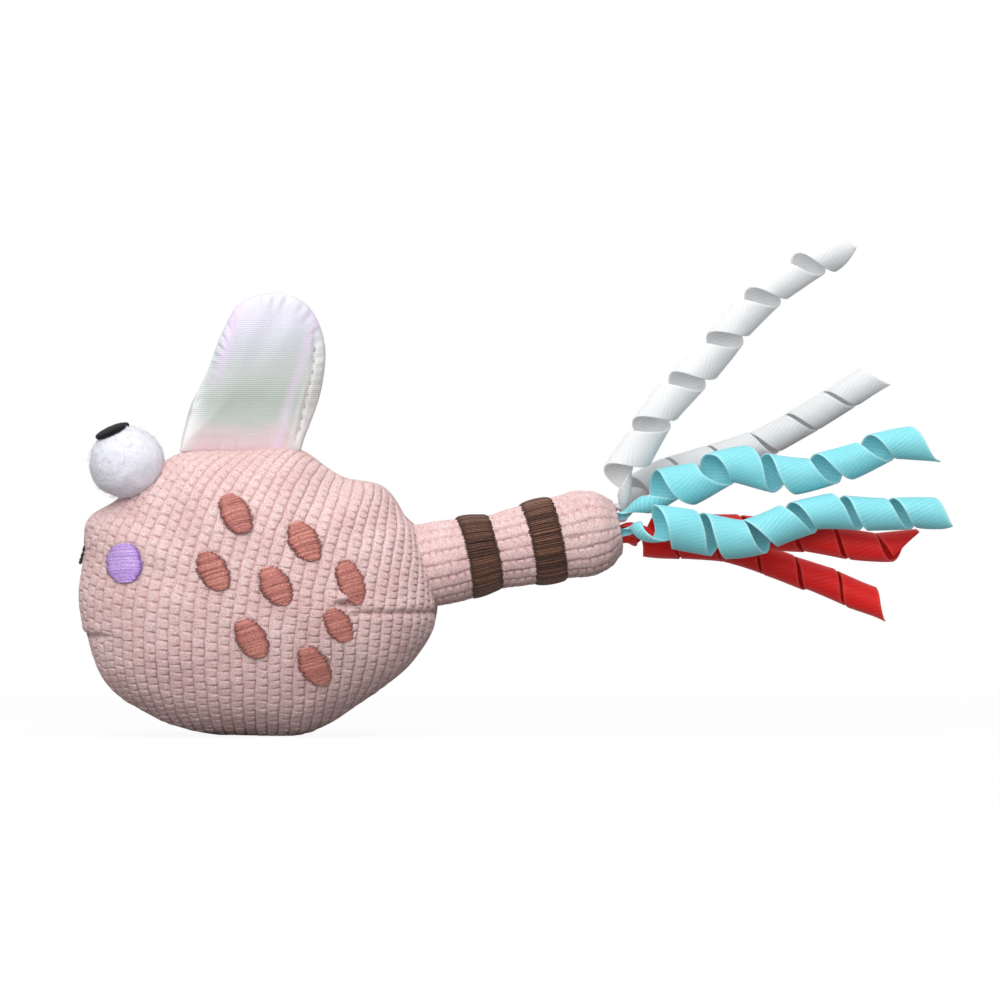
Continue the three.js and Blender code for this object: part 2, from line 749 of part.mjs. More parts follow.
// The ribbons start on the tail's end face. Each root is a place on it, away from the left side
// and up, in shares of the face's radius. A route is the middle of the curls, in shares of the
// ribbon's reach from the face's middle: along the toy, away from the left side, and up. The curls
// start at a turn of their own and go from the first share of the curl radius to the second.
const ribbons = [
  {
    name: "ribbon_white_1",
    look: ribbonMaterials.white,
    reach: upperWhiteReach,
    pitch: upperWhitePitch,
    startDegrees: -116,
    swellShares: [1.11, 0.96],
    rootShares: [0, 0.75],
    routeShares: [
      [0.01, -0.031, 0.134],
      [0.059, -0.031, 0.216],
      [0.098, -0.031, 0.283],
      [0.142, -0.031, 0.343],
      [0.203, -0.031, 0.409],
      [0.258, -0.031, 0.464],
      [0.307, -0.031, 0.526],
      [0.368, -0.031, 0.597],
      [0.429, -0.031, 0.652],
      [0.484, -0.031, 0.691],
      [0.539, -0.031, 0.727],
      [0.594, -0.031, 0.754],
      [0.622, -0.031, 0.765],
    ],
  },
  {
    name: "ribbon_white_2",
    look: ribbonMaterials.white,
    reach: lowerWhiteReach,
    pitch: lowerWhitePitch,
    startDegrees: 126,
    swellShares: [0.89, 0.89],
    rootShares: [0.65, 0.3],
    routeShares: [
      [0.032, 0.078, 0.09],
      [0.111, 0.125, 0.148],
      [0.21, 0.136, 0.188],
      [0.309, 0.14, 0.217],
      [0.4, 0.139, 0.245],
      [0.493, 0.138, 0.278],
      [0.615, 0.137, 0.344],
      [0.723, 0.136, 0.41],
      [0.841, 0.135, 0.485],
    ],
  },
  {
    name: "ribbon_turquoise_1",
    look: ribbonMaterials.turquoise,
    reach: upperTurquoiseReach,
    pitch: upperTurquoisePitch,
    startDegrees: 180,
    swellShares: [1.27, 0.93],
    rootShares: [-0.45, 0.4],
    routeShares: [
      [0.092, -0.042, 0.075],
      [0.167, -0.045, 0.122],
      [0.244, -0.062, 0.138],
      [0.31, -0.069, 0.172],
      [0.38, -0.069, 0.189],
      [0.471, -0.069, 0.17],
      [0.567, -0.069, 0.16],
      [0.655, -0.069, 0.182],
      [0.74, -0.069, 0.207],
      [0.816, -0.069, 0.241],
      [0.892, -0.069, 0.257],
      [0.966, -0.069, 0.255],
    ],
  },
  {
    name: "ribbon_turquoise_2",
    look: ribbonMaterials.turquoise,
    reach: lowerTurquoiseReach,
    pitch: lowerTurquoisePitch,
    startDegrees: 151,
    swellShares: [1.36, 0.89],
    rootShares: [-0.6, -0.3],
    routeShares: [
      [0.138, -0.142, 0.002],
      [0.253, -0.136, -0.017],
      [0.362, -0.126, -0.036],
      [0.448, -0.116, -0.021],
      [0.54, -0.107, 0.017],
      [0.654, -0.103, 0.045],
      [0.797, -0.103, 0.039],
      [0.939, -0.103, 0.043],
      [1, -0.103, 0.04],
    ],
  },
  {
    name: "ribbon_red_1",
    look: ribbonMaterials.red,
    reach: upperRedReach,
    pitch: upperRedPitch,
    startDegrees: 182,
    swellShares: [1.02, 0.86],
    rootShares: [0, -0.15],
    routeShares: [
      [0.087, 0.035, -0.015],
      [0.237, 0.035, -0.015],
      [0.412, 0.035, -0.016],
      [0.562, 0.035, -0.03],
      [0.677, 0.035, -0.039],
      [0.775, 0.035, -0.057],
      [0.875, 0.035, -0.07],
      [0.981, 0.035, -0.062],
    ],
  },
  {
    name: "ribbon_red_2",
    look: ribbonMaterials.red,
    reach: lowerRedReach,
    pitch: lowerRedPitch,
    startDegrees: -4,
    swellShares: [0.89, 0.84],
    rootShares: [0.5, -0.6],
    routeShares: [
      [0.111, 0.142, -0.064],
      [0.222, 0.189, -0.069],
      [0.361, 0.206, -0.076],
      [0.486, 0.206, -0.1],
      [0.594, 0.206, -0.14],
      [0.692, 0.206, -0.178],
      [0.793, 0.206, -0.211],
      [0.91, 0.206, -0.262],
      [0.986, 0.206, -0.289],
    ],
  },
];

// The middle of the tail's end face, and the way that it looks
tail.updateMatrixWorld(true);
const tailTip = new THREE.Vector3(tailLength, 0, 0).applyMatrix4(tail.matrixWorld);
const tipNormal = new THREE.Vector3(1, 0, 0).transformDirection(tail.matrixWorld);

// Where a ribbon leaves the end face, measured from the face's middle
function ribbonRoot({ rootShares: [y, z] }) {
  const root = new THREE.Vector3(0, y * tailEndFace, z * tailEndFace);
  return root.addScaledVector(tipNormal, rootGap - root.dot(tipNormal));
}

// A flat strip wound round its route. Each step gives the strip's middle, the ways along and across
// it, the route's way and the way round it, the way the strip's face looks and how tightly it bends.
function stripSteps(ribbon) {
  const { reach, pitch, startDegrees, swellShares, routeShares } = ribbon;
  const root = ribbonRoot(ribbon);
  const route = new THREE.CatmullRomCurve3([
    root,
    root.clone().addScaledVector(tipNormal, gatherWidth),
    ...routeShares.map(([x, y, z]) => new THREE.Vector3(x, y, z).multiplyScalar(reach)),
  ]);
  const length = route.getLength();
  const steps = Math.round((curlSteps * length) / pitch);
  const { tangents, normals, binormals } = route.computeFrenetFrames(steps);
  const openness = (i) => smoothstep((length * i) / steps, gatherRadius, gatherLength);
  const radius = (i) => lerp(gatherRadius, curlRadius * lerp(...swellShares, i / steps), openness(i));
  const face = normals.map((normal, i) => {
    const turn = radians(startDegrees) + (2 * Math.PI * i) / curlSteps;
    return normal.clone().multiplyScalar(Math.cos(turn)).addScaledVector(binormals[i], Math.sin(turn));
  });
  const middle = face.map((out, i) => route.getPointAt(i / steps).addScaledVector(out, radius(i)));
  return middle.map((point, i) => {
    const chord = middle[Math.min(i + 1, steps)].clone().sub(middle[Math.max(i - 1, 0)]).normalize();
    const along = i === 0 ? tipNormal.clone() : chord;
    const across = along.clone().cross(face[i]).normalize();
    const half = lerp(gatherWidth, ribbonWidth, openness(i)) / 2;
    const round = tangents[i].clone().cross(face[i]);
    const bend = Math.max(radius(i), gatherWidth);
    return { point, along, across, half, route: tangents[i], round, face: face[i], bend };
  });
}

// The strip's corners and the middles of its two faces at each step. It lies against the round of
// the curl, so its edges bend inwards. Its last edge is cut on a slant.
function stripRings(steps) {
  return steps.map(({ point, along, across, half, route, round, face, bend }, i) => {
    const slant = i === steps.length - 1 ? endSlant : 0;
    const corner = (edge, lift) => {
      const roll = (edge * half * across.dot(round)) / bend;
      const out = face.clone().multiplyScalar(Math.cos(roll)).addScaledVector(round, Math.sin(roll));
      return point
        .clone()
        .addScaledVector(face, -bend)
        .addScaledVector(out, bend + (lift * ribbonThickness) / 2)
        .addScaledVector(route, edge * half * across.dot(route))
        .addScaledVector(along, edge * slant);
    };
    return [corner(0, 1), corner(1, 1), corner(1, -1), corner(0, -1), corner(-1, -1), corner(-1, 1)];
  });
}

// The least distance from a corner of the strip to an edge of it at least half a curl on
function selfGap(rings) {
  const apart = Math.round(curlSteps / 2);
  const edge = new THREE.Line3();
  const nearest = new THREE.Vector3();
  let least = Infinity;
  rings.forEach((ring, i) => {
    for (let j = 0; j < rings.length - 1; j++) {
      if (Math.abs(i - j) < apart || Math.abs(i - j - 1) < apart) continue;
      for (let k = 0; k < ring.length; k++) {
        edge.set(rings[j][k], rings[j + 1][k]);
        for (const point of ring) {
          edge.closestPointToPoint(point, true, nearest);
          least = Math.min(least, nearest.distanceTo(point));
        }
      }
    }
  });
  return least;
}

function addRibbons() {
  const bundle = new THREE.Group();
  bundle.position.copy(tailTip);
  toy.add(bundle);
  for (const ribbon of ribbons) {
    const rings = stripRings(stripSteps(ribbon));
    put(ribbon.name, loft(rings), ribbon.look, bundle);
    const gap = selfGap(rings);
    const curls = (rings.length - 1) / curlSteps;
    console.log(`${ribbon.name}: ${curls} curls, least gap ${gap.toFixed(2)} mm of ${leastGap} mm wanted`);
  }
}

addSqueaker();
addBody();
addEyes();
addFaceTrim();
addSpots();
addWing("left", -1);
addWing("right", 1);
addTail();
addRibbons();

export default toy;
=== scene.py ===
"""Looks of the plush bug toy: waffle plush, felted eyes, satin stitch, iridescent wings, curled ribbons.

Lengths here are in millimetres and turn into metres where a mesh is made. The toy looks along -X
and its left side faces the camera.
"""
import math

import bmesh
import bpy
import numpy as np
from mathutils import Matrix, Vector


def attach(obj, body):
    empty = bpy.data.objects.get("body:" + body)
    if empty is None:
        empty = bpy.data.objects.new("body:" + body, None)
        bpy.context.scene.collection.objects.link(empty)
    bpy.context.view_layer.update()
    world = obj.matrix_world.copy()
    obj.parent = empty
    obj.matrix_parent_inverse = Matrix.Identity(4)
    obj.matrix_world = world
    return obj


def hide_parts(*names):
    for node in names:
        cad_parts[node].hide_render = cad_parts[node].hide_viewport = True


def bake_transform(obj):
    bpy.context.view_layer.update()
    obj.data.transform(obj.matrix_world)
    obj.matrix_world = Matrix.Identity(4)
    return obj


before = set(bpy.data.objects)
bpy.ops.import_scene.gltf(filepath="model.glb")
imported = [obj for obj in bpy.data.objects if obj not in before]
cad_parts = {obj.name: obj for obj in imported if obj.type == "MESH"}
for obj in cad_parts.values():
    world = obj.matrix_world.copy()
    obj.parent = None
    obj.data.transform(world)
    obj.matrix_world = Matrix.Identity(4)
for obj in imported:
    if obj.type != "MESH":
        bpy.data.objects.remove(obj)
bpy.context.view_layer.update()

MM = 0.001
SIDES = (("left", -1), ("right", 1))  # with the way along Y that each side faces

# Camera

PIXEL = 0.27  # width of a pixel of the photograph at the toy
PICTURE = 1000  # pixels across the photograph
VIEW_MIDDLE = np.array([67.5, 0, 63.45])
CAMERA_DISTANCE = 3000
CAMERA_RISE = 0.6  # degrees
CAMERA_REACH = 20  # metres
SENSOR = 36


def add_object(name, data):
    thing = bpy.data.objects.new(name, data)
    bpy.context.scene.collection.objects.link(thing)
    return thing


def add_camera():
    data = bpy.data.cameras.new("camera")
    data.sensor_width = SENSOR
    data.lens = SENSOR * CAMERA_DISTANCE / (PICTURE * PIXEL)
    data.clip_end = CAMERA_REACH
    camera = add_object("camera", data)
    rise = math.radians(CAMERA_RISE)
    away = np.array([0, -math.cos(rise), math.sin(rise)]) * CAMERA_DISTANCE
    camera.location = (VIEW_MIDDLE + away) * MM
    camera.rotation_euler = (math.pi / 2 - rise, 0, 0)
    bpy.context.scene.camera = camera


add_camera()

# Random numbers and noise that come out the same in each run

WORD = 0xFFFFFFFF  # the largest number of 32 bits
MIXES = ((0x45D9F3B, 15), (0x2C1B3C6D, 13))  # a factor and a shift each, to mix a number's bits


def chance(*keys, seed=0):
    """A number from 0 to 1 for each set of whole numbers"""
    mixed = np.int64(seed * 7919 + 17)
    for key in keys:
        mixed = (mixed ^ np.asarray(key, np.int64)) & WORD
        for factor, shift in MIXES:
            mixed = (mixed * factor) & WORD
            mixed = mixed ^ (mixed >> shift)
    return mixed / WORD


def picks(count, seed):
    """A column of numbers from 0 to 1, one for each of many stitches"""
    return chance(np.arange(count), seed=seed)[:, None]


def noise(points, size, seed=0):
    """Smooth noise from -1 to 1 with features of a size, at points of two or three numbers"""
    p = np.asarray(points, float) / size
    cell = np.floor(p)
    part = p - cell
    part = part * part * (3 - 2 * part)
    cell = cell.astype(np.int64)
    total = 0
    dims = p.shape[-1]
    for corner in range(2**dims):
        steps = [(corner >> d) & 1 for d in range(dims)]
        weight = 1
        for d, step in enumerate(steps):
            weight = weight * (part[..., d] if step else 1 - part[..., d])
        total = total + weight * chance(*[cell[..., d] + steps[d] for d in range(dims)], seed=seed)
    return 2 * total - 1


def noise_along(run, size, seed):
    """The same noise along a line"""
    return noise(np.stack([run, 0 * run], -1), size, seed)


def smoothstep(x, low, high):
    t = np.clip((np.asarray(x, float) - low) / (high - low), 0, 1)
    return t * t * (3 - 2 * t)


def bell(x, width):
    """1 at 0, and falling to both sides over a width"""
    return np.exp(-((x / width) ** 2))


def lerp(a, b, t):
    return a + (b - a) * t


def unit(v):
    v = np.asarray(v, float)
    return v / np.maximum(np.linalg.norm(v, axis=-1, keepdims=True), 1e-12)


def cos_sin(degrees):
    return math.cos(math.radians(degrees)), math.sin(math.radians(degrees))


def rotation(axis, degrees):
    c, s = cos_sin(degrees)
    turn = {
        "x": [[1, 0, 0], [0, c, -s], [0, s, c]],
        "y": [[c, 0, s], [0, 1, 0], [-s, 0, c]],
        "z": [[c, -s, 0], [s, c, 0], [0, 0, 1]],
    }
    return np.array(turn[axis])


def turned(x, z, degrees):
    """A place of the side view after a turn round the origin"""
    c, s = cos_sin(degrees)
    return x * c - z * s, x * s + z * c


def circle(count):
    """Angles that are spaced evenly round a circle"""
    return np.arange(count) * 2 * math.pi / count


# Meshes


def grid_faces(rows, cols, wrap=False, closed=False):
    """Four-sided faces of a grid of points, row by row.

    wrap joins its last column to its first, and closed its last row to its first.
    """
    rungs = np.arange(rows if closed else rows - 1)
    i, j = np.meshgrid(rungs, np.arange(cols if wrap else cols - 1), indexing="ij")
    m, k = (i + 1) % rows, (j + 1) % cols
    return np.stack([i * cols + j, i * cols + k, m * cols + k, m * cols + j], -1).reshape(-1, 4)


def stack_faces(rows, cols):
    """Faces of rings of points, one after another, with both ends closed"""
    ring = np.arange(cols)[None]
    return [grid_faces(rows, cols, True), ring[:, ::-1], (rows - 1) * cols + ring]


def volume(points, groups):
    """Six times the volume inside groups of faces, below 0 where they face in"""
    total = 0
    for faces in groups:
        for k in range(1, faces.shape[1] - 1):
            a, b, c = (points[faces[:, n]] for n in (0, k, k + 1))
            total += np.einsum("ij,ij->", a, np.cross(b, c))
    return total


def make(name, points, groups, finish, body, replaced=(), fields=None):
    """A piece from points in millimetres and groups of faces, facing out, on a body of the frame"""
    material, node_slot = finish
    points = np.asarray(points, float).reshape(-1, 3)
    groups = [np.asarray(g, np.int64) for g in groups]
    if volume(points, groups) < 0:
        groups = [g[:, ::-1] for g in groups]
    mesh = bpy.data.meshes.new(name)
    mesh.vertices.add(len(points))
    mesh.vertices.foreach_set("co", (points * MM).astype(np.float32).ravel())
    corners = np.concatenate([g.ravel() for g in groups])
    sizes = np.concatenate([np.full(len(g), g.shape[1]) for g in groups])
    starts = np.concatenate([[0], np.cumsum(sizes)[:-1]])
    mesh.loops.add(len(corners))
    mesh.loops.foreach_set("vertex_index", corners.astype(np.int32))
    mesh.polygons.add(len(sizes))
    mesh.polygons.foreach_set("loop_start", starts.astype(np.int32))
    mesh.polygons.foreach_set("use_smooth", np.ones(len(sizes), bool))
    mesh.update(calc_edges=True)
    for key, values in (fields or {}).items():
        attribute = mesh.attributes.new(key, "FLOAT", "POINT")
        attribute.data.foreach_set("value", np.asarray(values, np.float32).ravel())
    mesh.materials.append(material)
    piece = add_object(name, mesh)
    if body:
        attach(piece, body)
    if replaced:
        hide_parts(*replaced)
    return piece


def tubes(lines, radius, up, sides=6, flat=1.0):
    """Closed tubes along many lines at once.

    lines is (tubes, points, 3), radius the same without its last part, up the way each point's ring
    faces, and flat squeezes the rings along it.
    """
    lines = np.asarray(lines, float)
    count, steps = lines.shape[:2]
    radius = np.broadcast_to(radius, (count, steps))
    along = unit(np.gradient(lines, axis=1))
    side = unit(np.cross(along, np.broadcast_to(up, lines.shape)))
    face = np.cross(side, along)
    turn = circle(sides)
    ring = side[:, :, None] * np.cos(turn)[:, None] + face[:, :, None] * (flat * np.sin(turn))[:, None]
    points = lines[:, :, None] + ring * radius[:, :, None, None]
    starts = np.arange(count)[:, None, None] * steps * sides
    faces = [(starts + group).reshape(-1, group.shape[1]) for group in stack_faces(steps, sides)]
    return points.reshape(-1, 3), faces


# Materials


def linear(colour):
    """A colour of the photograph's kind, 0 to 255, or a grey as one number, in linear light"""
    c = np.broadcast_to(colour, 3) / 255
    return tuple(np.where(c <= 0.04045, c / 12.92, ((c + 0.055) / 1.055) ** 2.4)) + (1.0,)


class Nodes:
    """A node tree that is built step by step"""

    def __init__(self, tree):
        self.tree = tree
        tree.nodes.clear()

    def put(self, value, socket):
        """Links or sets a socket"""
        if isinstance(value, bpy.types.NodeSocket):
            self.tree.links.new(value, socket)
        else:
            socket.default_value = value

    def add(self, kind, settings=None, **sockets):
        """A node with its sockets set by name, or by number as in _0"""
        node = self.tree.nodes.new(kind)
        for key, value in (settings or {}).items():
            setattr(node, key, value)
        for key, value in sockets.items():
            self.put(value, node.inputs[int(key[1:]) if key[0] == "_" else key.replace("_", " ")])
        return node

    def place(self):
        return self.add("ShaderNodeTexCoord").outputs["Object"]

    def math(self, operation, a, b, clamp=False):
        settings = {"operation": operation, "use_clamp": clamp}
        return self.add("ShaderNodeMath", settings, _0=a, _1=b).outputs[0]

    def mix_shaders(self, share, a, b):
        return self.add("ShaderNodeMixShader", _0=share, _1=a.outputs[0], _2=b.outputs[0])


class Look(Nodes):
    """A material on one Principled shader"""

    def __init__(self, name, **sockets):
        self.material = bpy.data.materials.new(name)
        self.material.use_nodes = True
        super().__init__(self.material.node_tree)
        self.shader = self.add("ShaderNodeBsdfPrincipled", **sockets)
        self.add("ShaderNodeOutputMaterial", Surface=self.shader.outputs[0])

    def colour(self, value):
        self.put(value, self.shader.inputs["Base Color"])

    def field(self, name):
        return self.add("ShaderNodeAttribute", {"attribute_name": name}).outputs["Fac"]

    def noise(self, size, detail=2.0, stretch=None, roughness=0.5):
        """Noise with features of a size in millimetres, 0 to 1"""
        vector = self.place()
        if stretch:
            vector = self.add("ShaderNodeMapping", Vector=vector, Scale=stretch).outputs[0]
        scale = 1 / (size * MM)
        node = self.add("ShaderNodeTexNoise", Vector=vector, Scale=scale, Detail=detail, Roughness=roughness)
        return node.outputs["Fac"]

    def waver(self, size, detail, strength):
        """Noise about 0"""
        return self.math("MULTIPLY", self.math("SUBTRACT", self.noise(size, detail), 0.5), strength)

    def ramp(self, value, *stops):
        node = self.add("ShaderNodeValToRGB", Fac=value)
        elements = node.color_ramp.elements
        for k, (at, colour) in enumerate(stops):
            element = elements[k] if k < 2 else elements.new(at)
            element.position = at
            element.color = linear(colour)
        return node.outputs["Color"]

    def mix(self, share, a, b, kind="MIX"):
        node = self.add("ShaderNodeMix", {"data_type": "RGBA", "blend_type": kind})
        for name, value in (("Factor_Float", share), ("A_Color", a), ("B_Color", b)):
            self.put(value, next(s for s in node.inputs if s.identifier == name))
        return next(s for s in node.outputs if s.identifier == "Result_Color")

    def bump(self, height, strength, distance):
        node = self.add("ShaderNodeBump", Height=height, Strength=strength, Distance=distance * MM)
        self.put(node.outputs[0], self.shader.inputs["Normal"])


def waffle_plush():
    look = Look(
        "waffle_plush", Roughness=0.92, Sheen_Weight=0.35, Sheen_Roughness=0.5,
        Sheen_Tint=linear((255, 238, 234)), Specular_IOR_Level=0.2,
    )
    # The colour darkens from the top of each bump down into the grooves: painted shade in the hollows
    depth = look.math("ADD", look.field("rib"), look.waver(0.55, 3.0, 0.75))
    colour = look.ramp(
        depth,
        (0.0, (172, 130, 130)), (0.18, (210, 171, 170)), (0.38, (232, 201, 199)), (1.0, (239, 214, 212)),
    )
    patches = look.ramp(look.noise(9), (0.3, (246, 236, 236)), (0.7, 255))
    flecks = look.ramp(look.noise(0.36), (0.3, (206, 172, 170)), (0.54, 255))
    colour = look.mix(1.0, colour, patches, "MULTIPLY")
    look.colour(look.mix(0.8, colour, flecks, "MULTIPLY"))
    look.bump(look.noise(0.42, 3.0, roughness=0.75), 0.9, 0.5)
    return look.material


def felt(name, dark, light, roughness=0.95, sheen=0.4):
    look = Look(name, Roughness=roughness, Sheen_Weight=sheen, Sheen_Roughness=0.45, Specular_IOR_Level=0.2)
    mottled = look.mix(0.5, look.noise(2.4, 3.0), look.noise(0.35, stretch=(1, 1, 2.5)))
    look.colour(look.ramp(mottled, (0.3, dark), (0.62, light)))
    look.bump(look.noise(0.28, 3.0, roughness=0.7), 0.5, 0.25)
    return look.material


def satin_thread(name, dark, middle, light, roughness=0.42, gloss=0.6):
    """Embroidery thread: each stitch has its own tone, partly painted glint, and its ends are darker than its
    middle, painted shade where the stitch dives into the cloth
    """
    look = Look(name, Roughness=roughness, Sheen_Weight=0.25 * gloss, Specular_IOR_Level=gloss)
    tone = look.math("ADD", look.field("tone"), look.waver(0.34, 2.0, 1.3))
    shade = look.math("MULTIPLY", tone, look.field("inner"))
    # The ramp runs from painted shade at the stitch ends, through the thread's colour, to a painted glint
    # along the thread
    look.colour(look.ramp(shade, (0.0, dark), (0.5, middle), (1.0, light)))
    look.bump(look.noise(0.16, stretch=(1, 1, 2)), 0.45, 0.12)
    return look.material


WAVE_LENGTHS = 3.18  # of Blender's wave texture in a unit, at scale 1


def wing_film():
    """Iridescent mesh film, its iridescent sheen painted as fixed bands of colour. across runs along the
    wing's root and rise up its height, 0 to 1.
    """
    look = Look("wing_film", Roughness=0.38, Coat_Weight=0.15, Coat_Roughness=0.25, Specular_IOR_Level=0.5)
    rise = look.field("rise")
    waver = look.waver(16, 1.0, 0.2)
    body = look.ramp(
        look.math("ADD", rise, waver),
        (0.02, (222, 203, 207)), (0.12, (214, 204, 206)), (0.2, (194, 202, 197)), (0.34, (184, 195, 187)),
        (0.5, (197, 203, 200)), (0.66, (197, 200, 206)), (0.84, (205, 202, 219)), (0.98, (203, 203, 208)),
    )
    # The bands of colour follow the wing's lean: a pale one, a painted lilac highlight in the upper part,
    # rose and the hem
    lean = look.math("SUBTRACT", look.field("across"), look.math("MULTIPLY", rise, 0.38))
    lean = look.math("ADD", lean, look.math("MULTIPLY", waver, 0.25))
    lilac_highlight = look.ramp(lean, (0.08, 0), (0.14, 235), (0.22, 60), (0.32, 0))
    for share, colour in (
        (look.ramp(lean, (0.0, 0), (0.02, 255), (0.09, 150), (0.15, 0)), (234, 236, 236)),
        (look.mix(1.0, lilac_highlight, look.ramp(rise, (0.3, 30), (0.6, 255)), "MULTIPLY"), (229, 209, 237)),
        (look.ramp(lean, (0.74, 0), (0.81, 210), (0.88, 0)), (226, 206, 228)),
        (look.ramp(lean, (0.87, 0), (0.9, 230), (1.0, 255)), (222, 220, 219)),
    ):
        body = look.mix(share, body, linear(colour))

    def wave(way, vector, size, distortion, **sockets):
        settings = {"bands_direction": way, "wave_profile": "SIN"}
        scale = 1 / (size * MM) / WAVE_LENGTHS
        node = look.add(
            "ShaderNodeTexWave", settings, Vector=vector, Scale=scale, Distortion=distortion, **sockets
        )
        return node.outputs["Fac"]

    # Fine threads across the film, with a second set that shows as rows of dots
    level = look.add("ShaderNodeMapping", Vector=look.place(), Scale=(0.02, 0.02, 1)).outputs[0]
    threads = wave("Z", level, 0.52, 0.6, Detail=1.0, Detail_Scale=0.4)
    dots = wave("X", look.place(), 0.62, 0.5)
    weave = look.math("MULTIPLY", threads, look.math("ADD", look.math("MULTIPLY", dots, 0.45), 0.55))
    woven = look.mix(1.0, body, look.ramp(weave, (0.0, (208, 212, 210)), (0.8, 255)), "MULTIPLY")
    middle = look.ramp(rise, (0.1, 90), (0.35, 255), (0.62, 170), (0.8, 40))
    look.colour(look.mix(middle, body, woven))
    look.bump(weave, 0.25, 0.15)
    return look.material


def grosgrain(name, dark, middle, light, selvedge, through=0.4):
    """Ribbon: ribs across its width, darker between them as painted shade, painted shade on the face inside
    the curl, and a paler woven edge
    """
    look = Look(
        name, Roughness=0.6, Sheen_Weight=0.12, Specular_IOR_Level=0.35,
        Subsurface_Weight=through, Subsurface_Scale=2.4 * MM, Subsurface_Radius=(1, 1, 1),
    )
    rib = look.math("ADD", look.field("rib"), look.waver(0.5, 2.0, 0.5))
    woven = look.ramp(rib, (0.1, dark), (0.5, middle), (0.9, light))
    edge = look.math("MULTIPLY", look.field("edge"), look.math("ADD", look.noise(0.6, 1.0), 0.2), clamp=True)
    look.colour(look.mix(edge, woven, linear(selvedge)))
    look.bump(look.noise(0.2), 0.3, 0.1)
    return look.material


def two_toned(name, dark, light, roughness=0.7, mottle=0.3, grain=0.15, strength=0.5, depth=0.1):
    """A plain finish in two tones with a fine grain; thread, unless it is told otherwise"""
    look = Look(name, Roughness=roughness)
    look.colour(look.ramp(look.noise(mottle), (0.3, dark), (0.7, light)))
    look.bump(look.noise(grain), strength, depth)
    return look.material


# Each finish is a material with the record's slot that it belongs to
PLUSH = waffle_plush(), "pink_waffle_plush"
PINK_THREAD = two_toned("pink_thread", (206, 160, 156), (232, 196, 190)), "pink_waffle_plush"
WHITE_FELT = felt("white_felt", (207, 206, 217), (225, 225, 233)), "white_pile"
STRAY_FIBRE = two_toned("stray_fibre", (168, 166, 178), (206, 204, 216)), "white_pile"
BLACK_FELT = felt("black_felt", (6, 6, 7), (24, 24, 26), roughness=0.9, sheen=0.05), "black_felt"
# Each thread's dark tone is painted shade at the stitch ends and between the stitches, and its light tone a
# painted glint
RUST = satin_thread("rust_thread", (98, 42, 40), (168, 94, 84), (220, 150, 134)), "rust_satin_stitch"
PURPLE = (
    satin_thread("purple_thread", (120, 78, 174), (188, 150, 219), (238, 216, 249), roughness=0.34),
    "purple_thread",
)
BROWN = (
    satin_thread("brown_thread", (34, 19, 14), (80, 50, 38), (128, 88, 68), roughness=0.55, gloss=0.25),
    "brown_satin_stitch",
)
DARK = two_toned("dark_thread", (38, 40, 36), (74, 74, 68)), "dark_thread"
FILM = wing_film(), "iridescent_mesh"
GREY_THREAD = two_toned("grey_thread", (160, 158, 156), (200, 198, 196)), "iridescent_mesh"
# The dark and light tones of each ribbon are the ends of its painted rib shade
RIBBON_TONES = {  # dark, middle, light and selvedge, and how much light goes through if not the usual
    "white": ((214, 217, 219), (228, 230, 232), (236, 238, 239), (238, 240, 241), 0.85),
    "turquoise": ((100, 188, 201), (124, 207, 217), (148, 220, 228), (166, 227, 233)),
    "red": ((206, 8, 10), (232, 16, 15), (244, 36, 30), (242, 60, 52)),
}
GROSGRAINS = {
    colour: (grosgrain(colour + "_grosgrain", *tones), f"ribbon_{colour}_grosgrain")
    for colour, tones in RIBBON_TONES.items()
}
PLASTIC = two_toned(
    "squeaker_plastic", (214, 218, 226), (234, 238, 244),
    roughness=0.45, mottle=6, grain=0.8, strength=0.15, depth=0.05,
)

# Curves that pass through points, as the frame's outlines and routes do


class Spline:
    """A centripetal Catmull-Rom curve"""

    def __init__(self, points, closed=False):
        self.points = np.asarray(points, float)
        self.closed = closed
        self.shares = np.linspace(0, 1, 201)
        steps = np.linalg.norm(np.diff(self.at(self.shares), axis=0), axis=1)
        self.run = np.concatenate([[0], np.cumsum(steps)])
        self.length = self.run[-1]

    def at(self, share):
        p, count = self.points, len(self.points)
        place = np.asarray(share, float) * (count if self.closed else count - 1)
        k = np.floor(place).astype(int)
        if self.closed:
            p0, p1, p2, p3 = (p[(k + n) % count] for n in (-1, 0, 1, 2))
        else:
            k = np.minimum(k, count - 2)
            longer = np.concatenate([[2 * p[0] - p[1]], p, [2 * p[-1] - p[-2]]])
            p0, p1, p2, p3 = (longer[k + n] for n in (0, 1, 2, 3))
        t = (place - k)[..., None]
        d0, d1, d2 = (
            np.maximum(np.linalg.norm(b - a, axis=-1, keepdims=True) ** 0.5, 1e-4)
            for a, b in ((p0, p1), (p1, p2), (p2, p3))
        )
        m1 = ((p1 - p0) / d0 - (p2 - p0) / (d0 + d1) + (p2 - p1) / d1) * d1
        m2 = ((p2 - p1) / d1 - (p3 - p1) / (d1 + d2) + (p3 - p2) / d2) * d1
        return p1 + t * (m1 + t * ((-3 * p1 + 3 * p2 - 2 * m1 - m2) + t * (2 * p1 - 2 * p2 + m1 + m2)))

    def even(self, share):
        """The point at a share of the curve's length"""
        return self.at(np.interp(np.asarray(share) * self.length, self.run, self.shares))

    def frames(self, steps):
        """Tangent and two normals that don't twist, at even steps"""
        t = np.interp(np.linspace(0, self.length, steps + 1), self.run, self.shares)
        tangent = unit(self.at(np.minimum(t + 1e-4, 1)) - self.at(np.maximum(t - 1e-4, 0)))
        axis = np.zeros(3)
        smallest = np.abs(tangent[0])
        axis[2 if smallest[2] <= min(smallest[:2]) else 1 if smallest[1] <= smallest[0] else 0] = 1
        normal = np.zeros_like(tangent)
        normal[0] = np.cross(tangent[0], unit(np.cross(tangent[0], axis)))
        for k in range(1, steps + 1):
            normal[k] = unit(normal[k - 1] - tangent[k] * (normal[k - 1] @ tangent[k]))
        return tangent, normal, np.cross(tangent, normal)


# Stuffed forms


